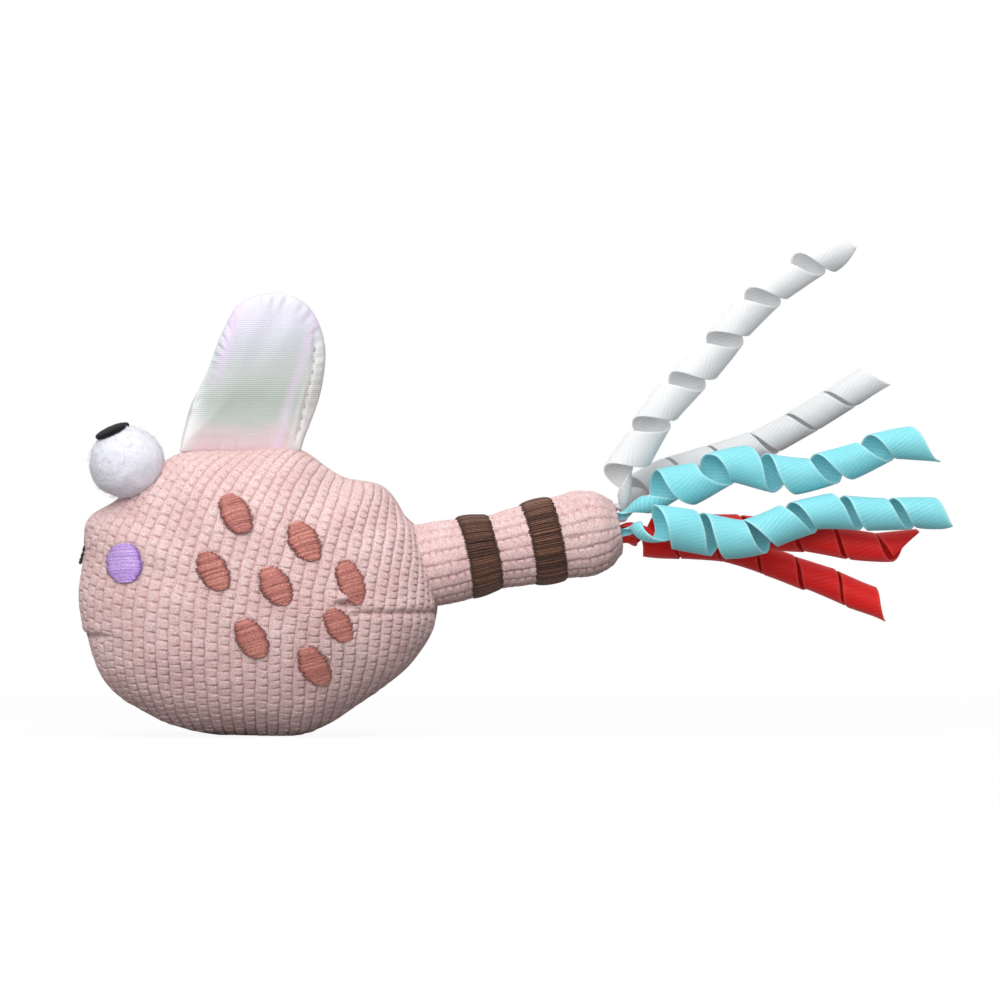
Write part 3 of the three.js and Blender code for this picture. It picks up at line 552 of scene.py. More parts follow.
def concentric(n):
    """A square grid of points on a unit disc: the share of the way out, and the angle"""
    t = np.linspace(-1, 1, n + 1)
    b, a = np.meshgrid(t, t, indexing="ij")
    wide = np.abs(a) >= np.abs(b)
    r = np.where(wide, a, b)
    safe = np.where(r == 0, 1, r)
    turn = np.where(wide, math.pi / 4 * b / safe, math.pi / 2 - math.pi / 4 * a / safe)
    return np.abs(r), np.where(r < 0, turn + math.pi, turn)


def border(n):
    """The grid points of the square's edge, in order round it"""
    low = np.arange(n)
    return np.concatenate([low, low * (n + 1) + n, n * (n + 1) + n - low, (n - low) * (n + 1)])


def cover_faces(n, extra):
    """Faces of a square grid whose border goes on to extra rings of points and to a last, middle point"""
    faces = grid_faces(n + 1, n + 1)
    ring = border(n)
    count = len(ring)
    last = (n + 1) ** 2 + extra * count
    rings = np.concatenate([ring[None], np.arange((n + 1) ** 2, last).reshape(extra, count)])
    after = np.roll(rings, -1, axis=1)
    bands = [np.stack([rings[r], after[r], after[r + 1], rings[r + 1]], -1) for r in range(extra)]
    fan = np.stack([rings[-1], after[-1], np.full(count, last)], -1)
    # Two faces that meet at an edge run along it in opposite ways
    a, b = bands[0][0][:2]
    near = faces[(faces == a).any(1) & (faces == b).any(1)][0]
    if near[(list(near).index(a) + 1) % 4] == b:
        bands, fan = [band[:, ::-1] for band in bands], fan[:, ::-1]
    return [faces, *bands, fan]


def face_normals(grid, side):
    """Normals of a grid of points (rows, columns, 3) that faces the side's way along Y"""
    normal = unit(np.cross(np.gradient(grid, axis=0), np.gradient(grid, axis=1)))
    middle = len(grid) // 2
    return normal * np.sign(normal[middle, middle, 1]) * side


class Pillow:
    """One face of a stuffed form: a side outline, the hub it is fullest at, its half depth, and how full"""

    def __init__(self, outline, hub, half_depth, half_gap, fullness):
        self.hub = np.asarray(hub, float)
        away = outline - self.hub
        angle = np.arctan2(away[:, 1], away[:, 0])
        order = np.argsort(angle)
        self.angle, self.far = angle[order], np.linalg.norm(away, axis=1)[order]
        self.half_gap, self.bulge, self.fullness = half_gap, half_depth - half_gap, fullness
        # How far along the fabric each share of the way out lies, for all directions
        self.turns = np.linspace(0, math.pi / 2, 241)
        self.compass = np.linspace(-math.pi, math.pi, 361)
        out, deep = self.shares(self.turns)
        x = self.rim(self.compass)[:, None] * out
        y = np.broadcast_to(self.bulge * deep, x.shape)
        steps = np.hypot(np.diff(x, axis=1), np.diff(y, axis=1))
        self.run = np.concatenate([np.zeros((len(x), 1)), np.cumsum(steps, axis=1)], axis=1)

    def shares(self, turn):
        power = 2 / self.fullness
        return np.sin(turn) ** power, np.maximum(np.cos(turn), 0) ** power

    def rim(self, angle):
        return np.interp(angle, self.angle, self.far, period=2 * math.pi)

    def spread(self, share, angle):
        """Points at a share of the way over the fabric from the hub, with their fabric lengths"""
        wrapped = (angle + math.pi) % (2 * math.pi) - math.pi
        place = (wrapped + math.pi) / (2 * math.pi) * (len(self.compass) - 1)
        low = np.minimum(place.astype(int), len(self.compass) - 2)
        part = place - low
        turn, length = np.zeros_like(share), np.zeros_like(share)
        for k in np.unique(low):
            here = low == k
            for run, weight in ((self.run[k], 1 - part[here]), (self.run[k + 1], part[here])):
                turn[here] += weight * np.interp(share[here] * run[-1], run, self.turns)
                length[here] += weight * share[here] * run[-1]
        out, deep = self.shares(turn)
        rim = self.rim(wrapped)
        x = self.hub[0] + out * rim * np.cos(wrapped)
        z = self.hub[1] + out * rim * np.sin(wrapped)
        return np.stack([x, self.half_gap + self.bulge * deep, z], -1), length, out

    def depth(self, x, z):
        dx, dz = x - self.hub[0], z - self.hub[1]
        out = np.clip(np.hypot(dx, dz) / self.rim(np.arctan2(dz, dx)), 0, 1)
        return self.half_gap + self.bulge * (1 - out**self.fullness) ** (1 / self.fullness)

    def on(self, x, z, side, lift):
        """Points of the face lifted along its normal, and that normal"""
        step = 0.7
        slope_x = (self.depth(x + step, z) - self.depth(x - step, z)) / (2 * step)
        slope_z = (self.depth(x, z + step) - self.depth(x, z - step)) / (2 * step)
        normal = unit(np.stack([-slope_x, np.ones_like(slope_x), -slope_z], -1))
        point = np.stack([x, self.depth(x, z), z], -1) + normal * np.asarray(lift)[..., None]
        flip = np.array([1, side, 1])
        return point * flip, normal * flip


# Body

NOSE = -46.2
LENGTH = 97.2
HEIGHT = 77.5
HALF_WIDTH = 31
BELLY_FLAT = 0.5  # how much the belly is pressed flat
SEAM_HALF = 1.3  # from the seam plane to a panel's edge
FULLNESS = 2.25
# Points round the side view, as shares of the length and the height
BODY_OUTLINE = [
    (0.023, 0.759), (0.1, 0.826), (0.239, 0.965), (0.3, 0.998), (0.455, 1), (0.609, 0.998),
    (0.728, 0.908), (0.841, 0.875), (0.903, 0.779), (0.946, 0.723), (0.992, 0.592), (1, 0.501),
    (0.99, 0.394), (0.925, 0.254), (0.797, 0.129), (0.656, 0.027), (0.586, 0.004), (0.475, 0),
    (0.387, 0.004), (0.3, 0.024), (0.208, 0.066), (0.081, 0.181), (0.028, 0.324), (0, 0.484),
    (0.01, 0.626),
]


def on_body(along, up):
    return np.array([NOSE + LENGTH * along, HEIGHT * up])


BODY_CURVE = Spline([on_body(a, u) - [0, BELLY_FLAT] for a, u in BODY_OUTLINE], closed=True)
BODY_RIM = BODY_CURVE.at(np.arange(500) / 500)
BODY = Pillow(BODY_RIM, on_body(0.496, 0.49), HALF_WIDTH, SEAM_HALF, FULLNESS)
FRONT_DART, REAR_DART = HEIGHT * 0.348, HEIGHT * 0.426
TUFT = np.array([26.2, 35.8])  # where the rear dart ends in a pulled-in crease

# Embroidered spots: middle on the body, length, width, tilt of the long way
SPOTS = [
    (0.442, 0.773, 11.4, 7.6, -54), (0.631, 0.679, 11.4, 7.6, -54), (0.381, 0.578, 11.4, 7.6, -54),
    (0.553, 0.526, 11.4, 7.6, -54), (0.758, 0.539, 12.2, 6.9, -68), (0.724, 0.392, 9.8, 6.5, -54),
    (0.487, 0.345, 11.4, 7.6, -54), (0.658, 0.25, 11.4, 7.4, -54),
]
CHEEK = (0.134, 0.603, 10.3, 9.6, 90)

RIB = 3.45  # from one rib of the plush to the next
STITCH = 2.45  # from one bump of a rib to the next
WAFFLE_TOP = 0.3
WAFFLE_DEPTH = 0.95
# These heights also place the plush on its colour ramp, whose low end is painted shade; IN_SEAM only darkens
# the colour of the seam's turned-in edge, as painted shade
UNDER_STITCHES, AT_RIM, IN_SEAM = 0.55, 0.5, 0.25  # height of the plush where it lies flat
BODY_GRID = 520
BELOW_HUB = 17  # how far below the hub the ribs begin to lean


def rim_at(height, part):
    """x of the body's rim at a height, on the part of its points that is picked"""
    rim = BODY_RIM[part]
    rim = rim[np.argsort(rim[:, 1])]
    return np.interp(height, rim[:, 1], rim[:, 0])


def waffle(u, v, stitch, seed):
    """Height of the plush, about 0 in a groove and 1 on a bump. u crosses the ribs and v runs along them."""
    spot = np.stack([u, v], -1)
    u = u + 0.3 * noise(spot, 5, seed) + 0.12 * noise(spot, 1.6, seed + 1)
    v = v + 0.35 * noise(spot, 4, seed + 2)
    column = np.floor(u / RIB)
    across = 2 * (u / RIB - column) - 1
    place = v / stitch + 0.5 * column + 0.3 * chance(column, seed=seed + 3)
    row = np.floor(place)
    along = 2 * (place - row) - 1
    lump = chance(column, row, seed=seed + 4) - 0.5
    tilt = chance(column, row, seed=seed + 5) - 0.5
    round_rib = np.sqrt(np.maximum(1 - np.abs(across) ** 4.6, 0))
    crown = 0.9 + 0.1 * (1 - along**4) * (1 - across**4)
    # Each notch is a wedge: wide at one side of the rib and closed past its middle
    end = np.maximum(1 - np.abs(along + 0.12 * across), 0)
    wedge = 0.08 + 0.14 * smoothstep(across, -0.5, 1)
    notch = bell(end, wedge) * (0.15 + 0.85 * smoothstep(across, -0.4, 0.6))
    return round_rib * crown * (0.94 + 0.24 * lump + 0.12 * tilt * across) * (1 - 0.75 * notch)


def in_ovals(x, z, spots, grow):
    """How far inside the embroidered ovals points are: 1 inside and 0 outside"""
    found = np.zeros_like(x)
    for a, u, length, width, tilt in spots:
        middle = on_body(a, u)
        along, across = turned(x - middle[0], z - middle[1], -tilt)
        far = np.hypot(along / (length / 2 + grow), across / (width / 2 + grow))
        found = np.maximum(found, smoothstep(-far, -1.12, -0.9))
    return found


def body_waffle(length, angle):
    """The fabric turns with height, so its ribs lean towards the tail above the darts."""
    u, rise = length * np.cos(angle), length * np.sin(angle) + BELOW_HUB
    above = 0.5 * (rise + np.sqrt(rise**2 + 64)) - 4 * bell(rise, 12)
    turn = 0.0047 * np.maximum(above, 0)
    ribs = u * np.cos(turn) - rise * np.sin(turn)
    rows = u * np.sin(turn) + rise * np.cos(turn)
    return waffle(ribs, rows, STITCH, 3)


def body_creases(x, y, z):
    """Depth of the darts, drawn in from the seam, less the height of the fabric that stands over them"""

    def dart(line, width):
        return np.exp(-np.abs((z - line) / width) ** 1.5)

    from_tuft = x - TUFT[0]
    over_tuft = z - TUFT[1]
    rear_line = REAR_DART + 0.3
    front = 1.3 * dart(FRONT_DART, 0.8) * smoothstep(-x, 34, 40)
    rear = 1.1 * dart(rear_line, 0.75) * smoothstep(from_tuft, 0, 3)
    tuft = 2.6 * bell(from_tuft, 2.4) * bell(over_tuft, 0.9)
    over = bell(z - FRONT_DART - 2, 2) * smoothstep(-x, 34, 42)
    over = over + 0.7 * bell(z - rear_line - 2, 2) * smoothstep(from_tuft, 0, 6)
    flap = bell(from_tuft, 3) * bell(over_tuft - 2, 1.3)
    collar = 0.8 * bell(np.hypot(y, z - TAIL_ROOT[2]) - 12, 2.5) * smoothstep(x, 38, 44)
    return front + rear + tuft - 0.4 * over - 0.7 * flap + collar


def add_body_cover(label, side):
    share, angle = concentric(BODY_GRID)
    base, length, out = BODY.spread(share, angle)
    x, y, z = np.moveaxis(base, -1, 0)
    flat = in_ovals(x, z, SPOTS + [CHEEK], grow=0.3)
    height = lerp(body_waffle(length, angle), UNDER_STITCHES, flat)
    height = lerp(height, AT_RIM, smoothstep(out, 0.985, 1.0))
    relief = WAFFLE_TOP - WAFFLE_DEPTH * (1 - height)
    lumps = 0.55 * noise(base, 17, 11) + 0.25 * noise(base, 7, 12)
    lift = relief + lumps - body_creases(x, y, z)
    grid = base * [1, side, 1]
    grid = grid + face_normals(grid, side) * lift[..., None]
    # The edge turns in to the seam
    hub = np.array([BODY.hub[0], 0, BODY.hub[1]])
    rim = base.reshape(-1, 3)[border(BODY_GRID)]
    inward = unit((hub - rim) * [1, 0, 1])
    turned_in = []  # rings, by how far they are in from the rim and out from the seam plane
    for inset, from_seam in ((0.25, 0.85), (0.9, 0.4), (2.2, 0.12)):
        edge = rim + inward * inset
        edge[:, 1] = side * from_seam
        turned_in.append(edge)
    middle = hub + [0, side * 0.12, 0]
    points = np.concatenate([grid.reshape(-1, 3), *turned_in, middle[None]])
    points[:, 2] = np.maximum(points[:, 2], 0)
    # The seam's turned-in edge takes the low IN_SEAM value, a painted shade in the seam
    ribs = np.full(len(points), IN_SEAM)
    ribs[: height.size] = height.ravel()
    faces = cover_faces(BODY_GRID, len(turned_in))
    replaced = ["body_panel_" + label, "body_stuffing_" + label]
    piece = make("body_cover_" + label, points, faces, PLUSH, "body", replaced, {"rib": ribs})


def add_body_seam():
    """The turned-in edges at the bottom of the seam's valley, and the small stitches that close them"""
    count, pitch, reach, radius = 600, 2.6, 0.95, 0.14
    rim = Spline(BODY_RIM[::5], closed=True)

    def inset(share, depth, y, lowest):
        """Places of the seam at a depth inside the rim, and the way in"""
        edge = rim.even(share)
        inward = unit(BODY.hub - edge)
        x, z = np.moveaxis(edge + inward * depth, -1, 0)
        return np.stack([x, np.full(len(x), float(y)), np.maximum(z, lowest)], -1), inward

    profile = ((0.8, -0.55), (0.62, 0), (0.8, 0.55), (2.6, 0.5), (2.6, -0.5))
    rings = [inset(np.arange(count) / count, depth, y, 0.02)[0] for depth, y in profile]
    seam = np.stack(rings, 1).reshape(-1, 3)
    seam_faces = grid_faces(count, len(profile), True, True)[:, ::-1]
    # Each stitch bows over the valley
    stitches = int(rim.length / pitch)
    middle = (np.arange(stitches) + 0.5) / stitches
    ahead = unit(rim.even((middle + 0.1 / stitches) % 1) - rim.even(middle))[:, [0, 0, 1]] * [1, 0, 1]
    lines = []
    for t in np.linspace(-1, 1, 7):
        place, inward = inset(middle, 0.9 - 0.55 * math.sqrt(1 - (reach * t) ** 2), reach * t, -1)
        place = place + ahead * 0.35 * t
        place[:, 2] = np.maximum(place[:, 2], 0.16)
        lines.append(place)
    out = -inward[:, None, [0, 0, 1]] * [1, 0, 1]
    thread, faces = tubes(np.stack(lines, 1), radius, out, 5)
    faces = [seam_faces, *[f + len(seam) for f in faces]]
    make("body_seam", np.concatenate([seam, thread]), faces, PINK_THREAD, "body", ["body_center_seam"])


# Embroidery

THREAD_SIDES = 6
PATCH_CROWN = 0.35  # how much a patch swells at its middle
RAGGED = 0.75  # how much the ends of its stitches stray


def add_satin(node, body, finish, lines, radius, up, fields, cloth, cloth_faces, cloth_shade):
    """Stitches along lines and the cloth under them, as one piece. The fields have a value for each point,
    and the cloth takes one low value, a painted shade between and round the stitches.
    """
    thread, faces = tubes(lines, radius, up, THREAD_SIDES, 0.8)
    cloth = cloth.reshape(-1, 3)
    if volume(cloth, cloth_faces) * volume(thread, faces) < 0:
        cloth_faces = [f[:, ::-1] for f in cloth_faces]
    faces += [f + len(thread) for f in cloth_faces]
    # Painted shade: the cloth gets a low tone and shows dark between the stitches
    under = np.full(len(cloth), cloth_shade)
    for key, values in fields.items():
        fields[key] = np.concatenate([np.repeat(values.ravel(), THREAD_SIDES), under])
    make(node + "_satin", np.concatenate([thread, cloth]), faces, finish, body, [node], fields)


def oval(spot, pointed, angle, share=1.0):
    """Points of a spot's edge, or a share of the way out to it. pointed above 1 narrows the ends."""
    *_, length, width, tilt = spot
    along = share * np.cos(angle) * length / 2
    across = share * np.sign(np.sin(angle)) * np.abs(np.sin(angle)) ** pointed * width / 2
    return turned(along, across, tilt)


def add_patch(node, side, spot, finish, lean, pitch, radius, seed, pointed=1.0):
    """Satin stitches side by side over a spot, all leaning alike"""
    middle = on_body(*spot[:2])
    length = spot[2]
    run, off = turned(*oval(spot, pointed, np.linspace(0, 2 * math.pi, 721)), -lean)
    breadth = off.max() - off.min()
    count = int(breadth / pitch)
    offsets = off.min() + (np.arange(count) + 0.5) * breadth / count
    ends = []
    for k, offset in enumerate(offsets):
        inside = run[np.abs(off - offset) < pitch]
        jitter = RAGGED * (chance(k, np.arange(2), seed=seed) - 0.4)
        ends.append((inside.min() - jitter[0], inside.max() + jitter[1]))
    ends = np.array(ends)
    sag, curve, lowest, height, uneven = 0.12, 0.03, 0.15, 0.55, 0.05
    t = np.linspace(0, 1, 11)
    bow = np.sin(math.pi * t)
    along = lerp(ends[:, :1], ends[:, 1:], t)
    across = offsets[:, None] + sag * bow * (picks(count, seed + 1) - 0.5) - curve * (along / 2) ** 2
    x, z = turned(along, across, lean)
    out = np.clip(np.hypot(along / length, across / length) * 2, 0, 1)
    rise = lowest + (height + PATCH_CROWN * (1 - out**2)) * bow**0.45
    rise = rise + uneven * (picks(count, seed + 2) - 0.5)
    points, normal = BODY.on(middle[0] + x, middle[1] + z, side, rise)
    thick = radius * (0.9 + 0.2 * picks(count, seed + 3)) * np.ones(len(t))
    thick[:, [0, -1]] *= 0.6
    tone = 0.34 + 0.38 * picks(count, seed + 4) + 0 * t
    # Painted shade: each stitch darkens towards its ends, where it dives into the cloth
    inner = 0.05 + smoothstep(bow, 0.02, 0.45) + 0 * tone
    # The cloth under the stitches
    around = 48
    shares = np.array([0.02, 0.35, 0.7, 0.93])[:, None]
    x, z = oval(spot, pointed, circle(around), shares)
    x, z = middle[0] + x, middle[1] + z
    top, _ = BODY.on(x, z, side, 0.42 * (1 - shares**6) + 0 * x)
    low, _ = BODY.on(x, z, side, -0.5 + 0 * x)
    cloth = np.concatenate([top, low[::-1]])
    faces = stack_faces(len(cloth), around)
    fields = {"tone": tone, "inner": inner}
    add_satin(node, "body", finish, points, thick, normal, fields, cloth, faces, cloth_shade=0.3)


def add_embroidery(label, side):
    for k, spot in enumerate(SPOTS):
        node = f"spot_{label}_{k + 1}"
        add_patch(node, side, spot, RUST, lean=17, pitch=0.36, radius=0.235, seed=40 + k, pointed=1.2)
    add_patch("cheek_" + label, side, CHEEK, PURPLE, lean=4, pitch=0.32, radius=0.21, seed=70)


def on_front(y, z, lift):
    """Points of the body's front, y from the seam plane and z up, lifted along its normal, and that normal"""

    def at(yy, zz):
        out = (1 - (np.abs(yy) / HALF_WIDTH) ** FULLNESS) ** (1 / FULLNESS)
        rim = rim_at(BODY.hub[1] + (zz - BODY.hub[1]) / out, BODY_RIM[:, 0] < 0)
        return np.stack([BODY.hub[0] + out * (rim - BODY.hub[0]), yy, zz], -1)

    across = at(y + 0.5, z) - at(y - 0.5, z)
    up = at(y, z + 0.5) - at(y, z - 0.5)
    normal = unit(np.cross(up, across))
    normal = normal * np.where(normal[..., :1] > 0, -1, 1)
    return at(y, z) + normal * np.asarray(lift)[..., None], normal


def add_mouth():
    """A row of stitches along a smile"""
    stitches = 9
    half_width, height, smile = 9, HEIGHT * 0.599, 5
    t = np.linspace(0, 1, 9)
    start = np.arange(stitches)[:, None] / stitches
    share = 2 * (start + (0.03 + 0.94 * t) / stitches) - 1
    y = half_width * share
    hump = np.sin(math.pi * t) ** 0.4
    points, normal = on_front(y, height + smile * share**2, 0.1 + 0.35 * hump + 0 * y)
    thread, faces = tubes(points, 0.22 + 0.2 * hump, normal, 8)
    make("mouth_stitches", thread, faces, DARK, "body", ["mouth"])


# Eyes

EYE = on_body(0.134, 0.947)
EYE_OUT = 12  # from the seam plane
EYE_RADIUS = 10
PUPIL_RADIUS = 4.4
PUPIL_THICKNESS = 1.15
PUPIL_OUTWARD, PUPIL_FORWARD = 10, 24  # degrees that a pupil is turned


def ball(subdivisions):
    shape = bmesh.new()
    bmesh.ops.create_icosphere(shape, subdivisions=subdivisions, radius=1)
    points = np.array([v.co for v in shape.verts])
    faces = np.array([[v.index for v in f.verts] for f in shape.faces])
    shape.free()
    return unit(points), faces


def stray_fibres(middle, rng):
    """Fibres that lie loose on the ball, in arcs that waver"""
    count, thin = 55, 0.028
    centre = unit(rng.normal(size=(count, 3)))
    first = unit(np.cross(centre, rng.normal(size=(count, 3))))
    second = np.cross(centre, first)
    size = rng.uniform(0.06, 0.26, count)[:, None]
    sweep = rng.uniform(0.8, 4.2, count)[:, None] * np.linspace(0, 1, 14)
    size = size * (1 + 0.35 * np.sin(2.3 * sweep + rng.uniform(0, 6, count)[:, None]))
    ways = unit(
        centre[:, None]
        + first[:, None] * (size * np.cos(sweep))[..., None]
        + second[:, None] * (size * np.sin(sweep))[..., None]
    )
    far = EYE_RADIUS + 0.05 + 0.12 * rng.uniform(size=(count, 1))
    return tubes(middle + ways * far[..., None], thin, ways, 4)


def fuzz(middle, rng):
    """Short hairs that stand off the ball"""
    count = 1500
    root = unit(rng.normal(size=(count, 3)))
    lean = unit(root + 1.1 * rng.normal(size=(count, 3)))
    bend = unit(lean + 0.8 * rng.normal(size=(count, 3)))
    reach = rng.uniform(0.4, 1.1, count)[:, None]
    t = np.linspace(0, 1, 4)
    lines = (
        middle
        + (root * (EYE_RADIUS - 0.4))[:, None]
        + lean[:, None] * (reach * t)[..., None]
        + bend[:, None] * (0.5 * reach * t * t)[..., None]
    )
    return tubes(lines, 0.035 * (1.05 - t), root[:, None], 3)


def add_eye(label, side):
    seed = 100 + side
    middle = np.array([EYE[0], side * EYE_OUT, EYE[1]])
    ways, faces = ball(6)
    radius = EYE_RADIUS * (1 + 0.018 * noise(ways, 0.5, seed) + 0.008 * noise(ways, 0.16, seed + 1))
    radius = radius + 0.1 * noise(ways, 0.05, seed + 2) - 0.25 - 0.5 * smoothstep(-ways[:, 2], 0.55, 1)
    name = "eye_" + label
    make(name + "_pompom", middle + ways * radius[:, None], [faces], WHITE_FELT, "body", [name])
    rng = np.random.default_rng(seed)
    make(name + "_fibres", *stray_fibres(middle, rng), STRAY_FIBRE, "body")
    make(name + "_fuzz", *fuzz(middle, rng), WHITE_FELT, "body")
    add_pupil(label, side, middle)


def add_pupil(label, side, middle):
    """A dished felt disc on the ball"""
    under, size, thick, bevel, around = EYE_RADIUS + 0.1, PUPIL_RADIUS, PUPIL_THICKNESS, 0.3, 96
    rim = math.sqrt(under**2 - size**2)
    profile = [(r, math.sqrt(under**2 - r**2)) for r in np.linspace(0.02, size - 0.25, 12)]
    for angle in np.linspace(-80, 80, 7):
        c, s = cos_sin(angle)
        profile.append((size - bevel + bevel * c, rim + thick / 2 + thick / 2 * s))
    for r in np.linspace(size - 0.45, 0.02, 12):
        profile.append((r, rim + thick + (under - rim - thick / 3) * (1 - (r / size) ** 2) * 0.9))
    profile = np.array(profile)
    turn = circle(around)
    x, y = profile[:, :1] * np.cos(turn), profile[:, :1] * np.sin(turn)
    points = np.stack([x, y, profile[:, 1:] + 0 * x], -1).reshape(-1, 3)
    points = points + 0.07 * np.stack([noise(points, 0.5, 60 + k) for k in range(3)], -1)
    points = points @ (rotation("x", -side * PUPIL_OUTWARD) @ rotation("y", -PUPIL_FORWARD)).T + middle
    faces = stack_faces(len(profile), around)
    make(f"pupil_{label}_disc", points, faces, BLACK_FELT, "body", ["pupil_" + label])


# Wings

WING_LENGTH, WING_HEIGHT = 32.4, 41.7  # along the root, and from it to the top
# Points round a wing, as shares of those two
WING_OUTLINE = [
    (0, 0), (0.099, 0.281), (0.225, 0.477), (0.358, 0.751), (0.509, 0.94), (0.725, 1),
    (0.883, 1), (1.068, 0.92), (1.2, 0.692), (1.182, 0.404), (1.068, 0.123), (1, 0),
]
WING_HUB = (0.63, 0.5)
WING_HALF_DEPTH, WING_HALF_EDGE = 3.6, 0.15
WING_ROOT = np.array([on_body(0.281, 0)[0], 4, BODY_RIM[:, 1].max() + 0.3])
WING_LEAN = 8  # degrees outwards
WING_GRID = 120
# The seam near a wing's rear edge: x at heights above the root
REAR_SEAM = np.array([(30.4, 0), (32.2, 4.6), (33.4, 10.5), (35.6, 19.4), (36.4, 25), (36.6, 30)])


def rear_seam(z):
    return np.interp(z, REAR_SEAM[:, 1], REAR_SEAM[:, 0])


def wing_pillow():
    size = np.array([WING_LENGTH, WING_HEIGHT])
    curve = Spline(np.array(WING_OUTLINE) * size).at(np.linspace(0, 1, 300))
    root = np.linspace(WING_LENGTH, 0, 60)[1:-1]
    outline = np.concatenate([curve, np.stack([root, 0 * root], -1)])
    return Pillow(outline, WING_HUB * size, WING_HALF_DEPTH, WING_HALF_EDGE, 2.0)


def add_wing(label, side):
    form = wing_pillow()
    turn = rotation("x", -side * WING_LEAN)
    origin = WING_ROOT * [1, side, 1]
    wing = "wing_" + label
    share, angle = concentric(WING_GRID)
    base, _, out = form.spread(share, angle)
    x, _, z = np.moveaxis(base, -1, 0)
    for layer, way in (("outer", side), ("inner", -side)):
        grid = base * [1, way, 1]
        grid[..., 2] -= 1.4 * (1 - smoothstep(z, 0, 3))
        # Soft folds that run up the film, small puckers where it is sewn, and the rear seam's valley
        folds = 0.35 * noise(np.stack([x - 0.42 * z, 0.35 * z], -1), 5.5, 21 + way)
        puckers = 0.22 * noise(np.stack([angle * 18, out * 4], -1), 1.3, 22) * smoothstep(out, 0.72, 0.95)
        valley = 0.45 * bell(x - rear_seam(z), 0.6) * smoothstep(z, 1, 4) * (1 - smoothstep(z, 29, 33))
        lift = (folds + puckers - valley) * (1 - smoothstep(out, 0.97, 1))
        points = (grid + face_normals(grid, way) * lift[..., None]).reshape(-1, 3)
        edge = points[border(WING_GRID)] * [1, 0, 1] + [0, way * 0.02, 0]
        points = np.concatenate([points, edge, [[form.hub[0], way * 0.02, form.hub[1]]]])
        fields = {"across": points[:, 0] / WING_LENGTH, "rise": points[:, 2] / WING_HEIGHT}
        replaced = [f"{wing}_{layer}_panel"] + [wing + "_padding"] * (layer == "outer")
        points = points @ turn.T + origin
        piece = make(f"{wing}_{layer}", points, cover_faces(WING_GRID, 1), FILM, wing, replaced, fields)
    # Light stitches down both layers of the rear seam
    stitches, lowest, pitch, length, radius = 9, 1.6, 3.1, 1.3, 0.15
    t = np.linspace(0, 1, 7)
    z = lowest + pitch * np.arange(stitches)[:, None] + length * t
    x = rear_seam(z) + 0.25 * (picks(stitches, 5) - 0.5)
    lift = -0.3 + 0.42 * np.sin(math.pi * t) + 0 * z
    lines, ups = (np.concatenate(rows) for rows in zip(*(form.on(x, z, way, lift) for way in (side, -side))))
    thread, faces = tubes(lines, radius, ups)
    make(wing + "_stitches", thread @ turn.T + origin, faces, GREY_THREAD, wing)


# Tail

TAIL_RISE, TAIL_YAW = 11.5, 7  # degrees
TAIL_LENGTH, TAIL_RADIUS = 52.7, 11.3
TAIL_TURN = rotation("z", TAIL_YAW) @ rotation("y", -TAIL_RISE)
TAIL_AXIS = TAIL_TURN[:, 0]
TAIL_ROOT_HEIGHT = HEIGHT * 0.59
TAIL_SUNK = 2.4  # how far the root lies inside the body's rim
TAIL_ROOT = np.array([rim_at(TAIL_ROOT_HEIGHT, BODY_RIM[:, 0] > 30) - TAIL_SUNK, 0, TAIL_ROOT_HEIGHT])
TAIL_TIP = TAIL_ROOT + TAIL_TURN @ [TAIL_LENGTH, 0, 0]
# Places along the tail and its radius there, as shares of TAIL_LENGTH and TAIL_RADIUS
TAIL_PROFILE = np.array([
    (0, 1), (0.12, 0.99), (0.21, 0.93), (0.33, 0.84), (0.47, 0.92), (0.7, 0.96), (0.83, 1.04),
    (0.92, 0.94), (0.975, 0.76), (1, 0.584),
]) * [TAIL_LENGTH, TAIL_RADIUS]
TAIL_RIBS = 20
TAIL_STITCH = 2.1  # from one bump of a rib to the next
# IN_END only darkens the colour of the tail's turned-in end, as painted shade
UNDER_BANDS, IN_END = 0.45, 0.35  # height of its plush where it lies flat
BANDS = (0.2, 0.535)  # where each band starts along the tail
BAND_WIDTH = 8


def tail_radius(a):
    """Radius of the tail, rounded between the places of its profile"""
    spread = np.linspace(-1.6, 1.6, 9)
    places, radii = TAIL_PROFILE.T
    return sum(np.interp(np.clip(a + d, -5, TAIL_LENGTH), places, radii) for d in spread) / len(spread)


def on_tail(a, angle, radius):
    """A point of the tail: along it, round it and out from its middle line"""
    local = np.stack([a + 0 * radius, -radius * np.cos(angle), radius * np.sin(angle)], -1)
    return local @ TAIL_TURN.T + TAIL_ROOT


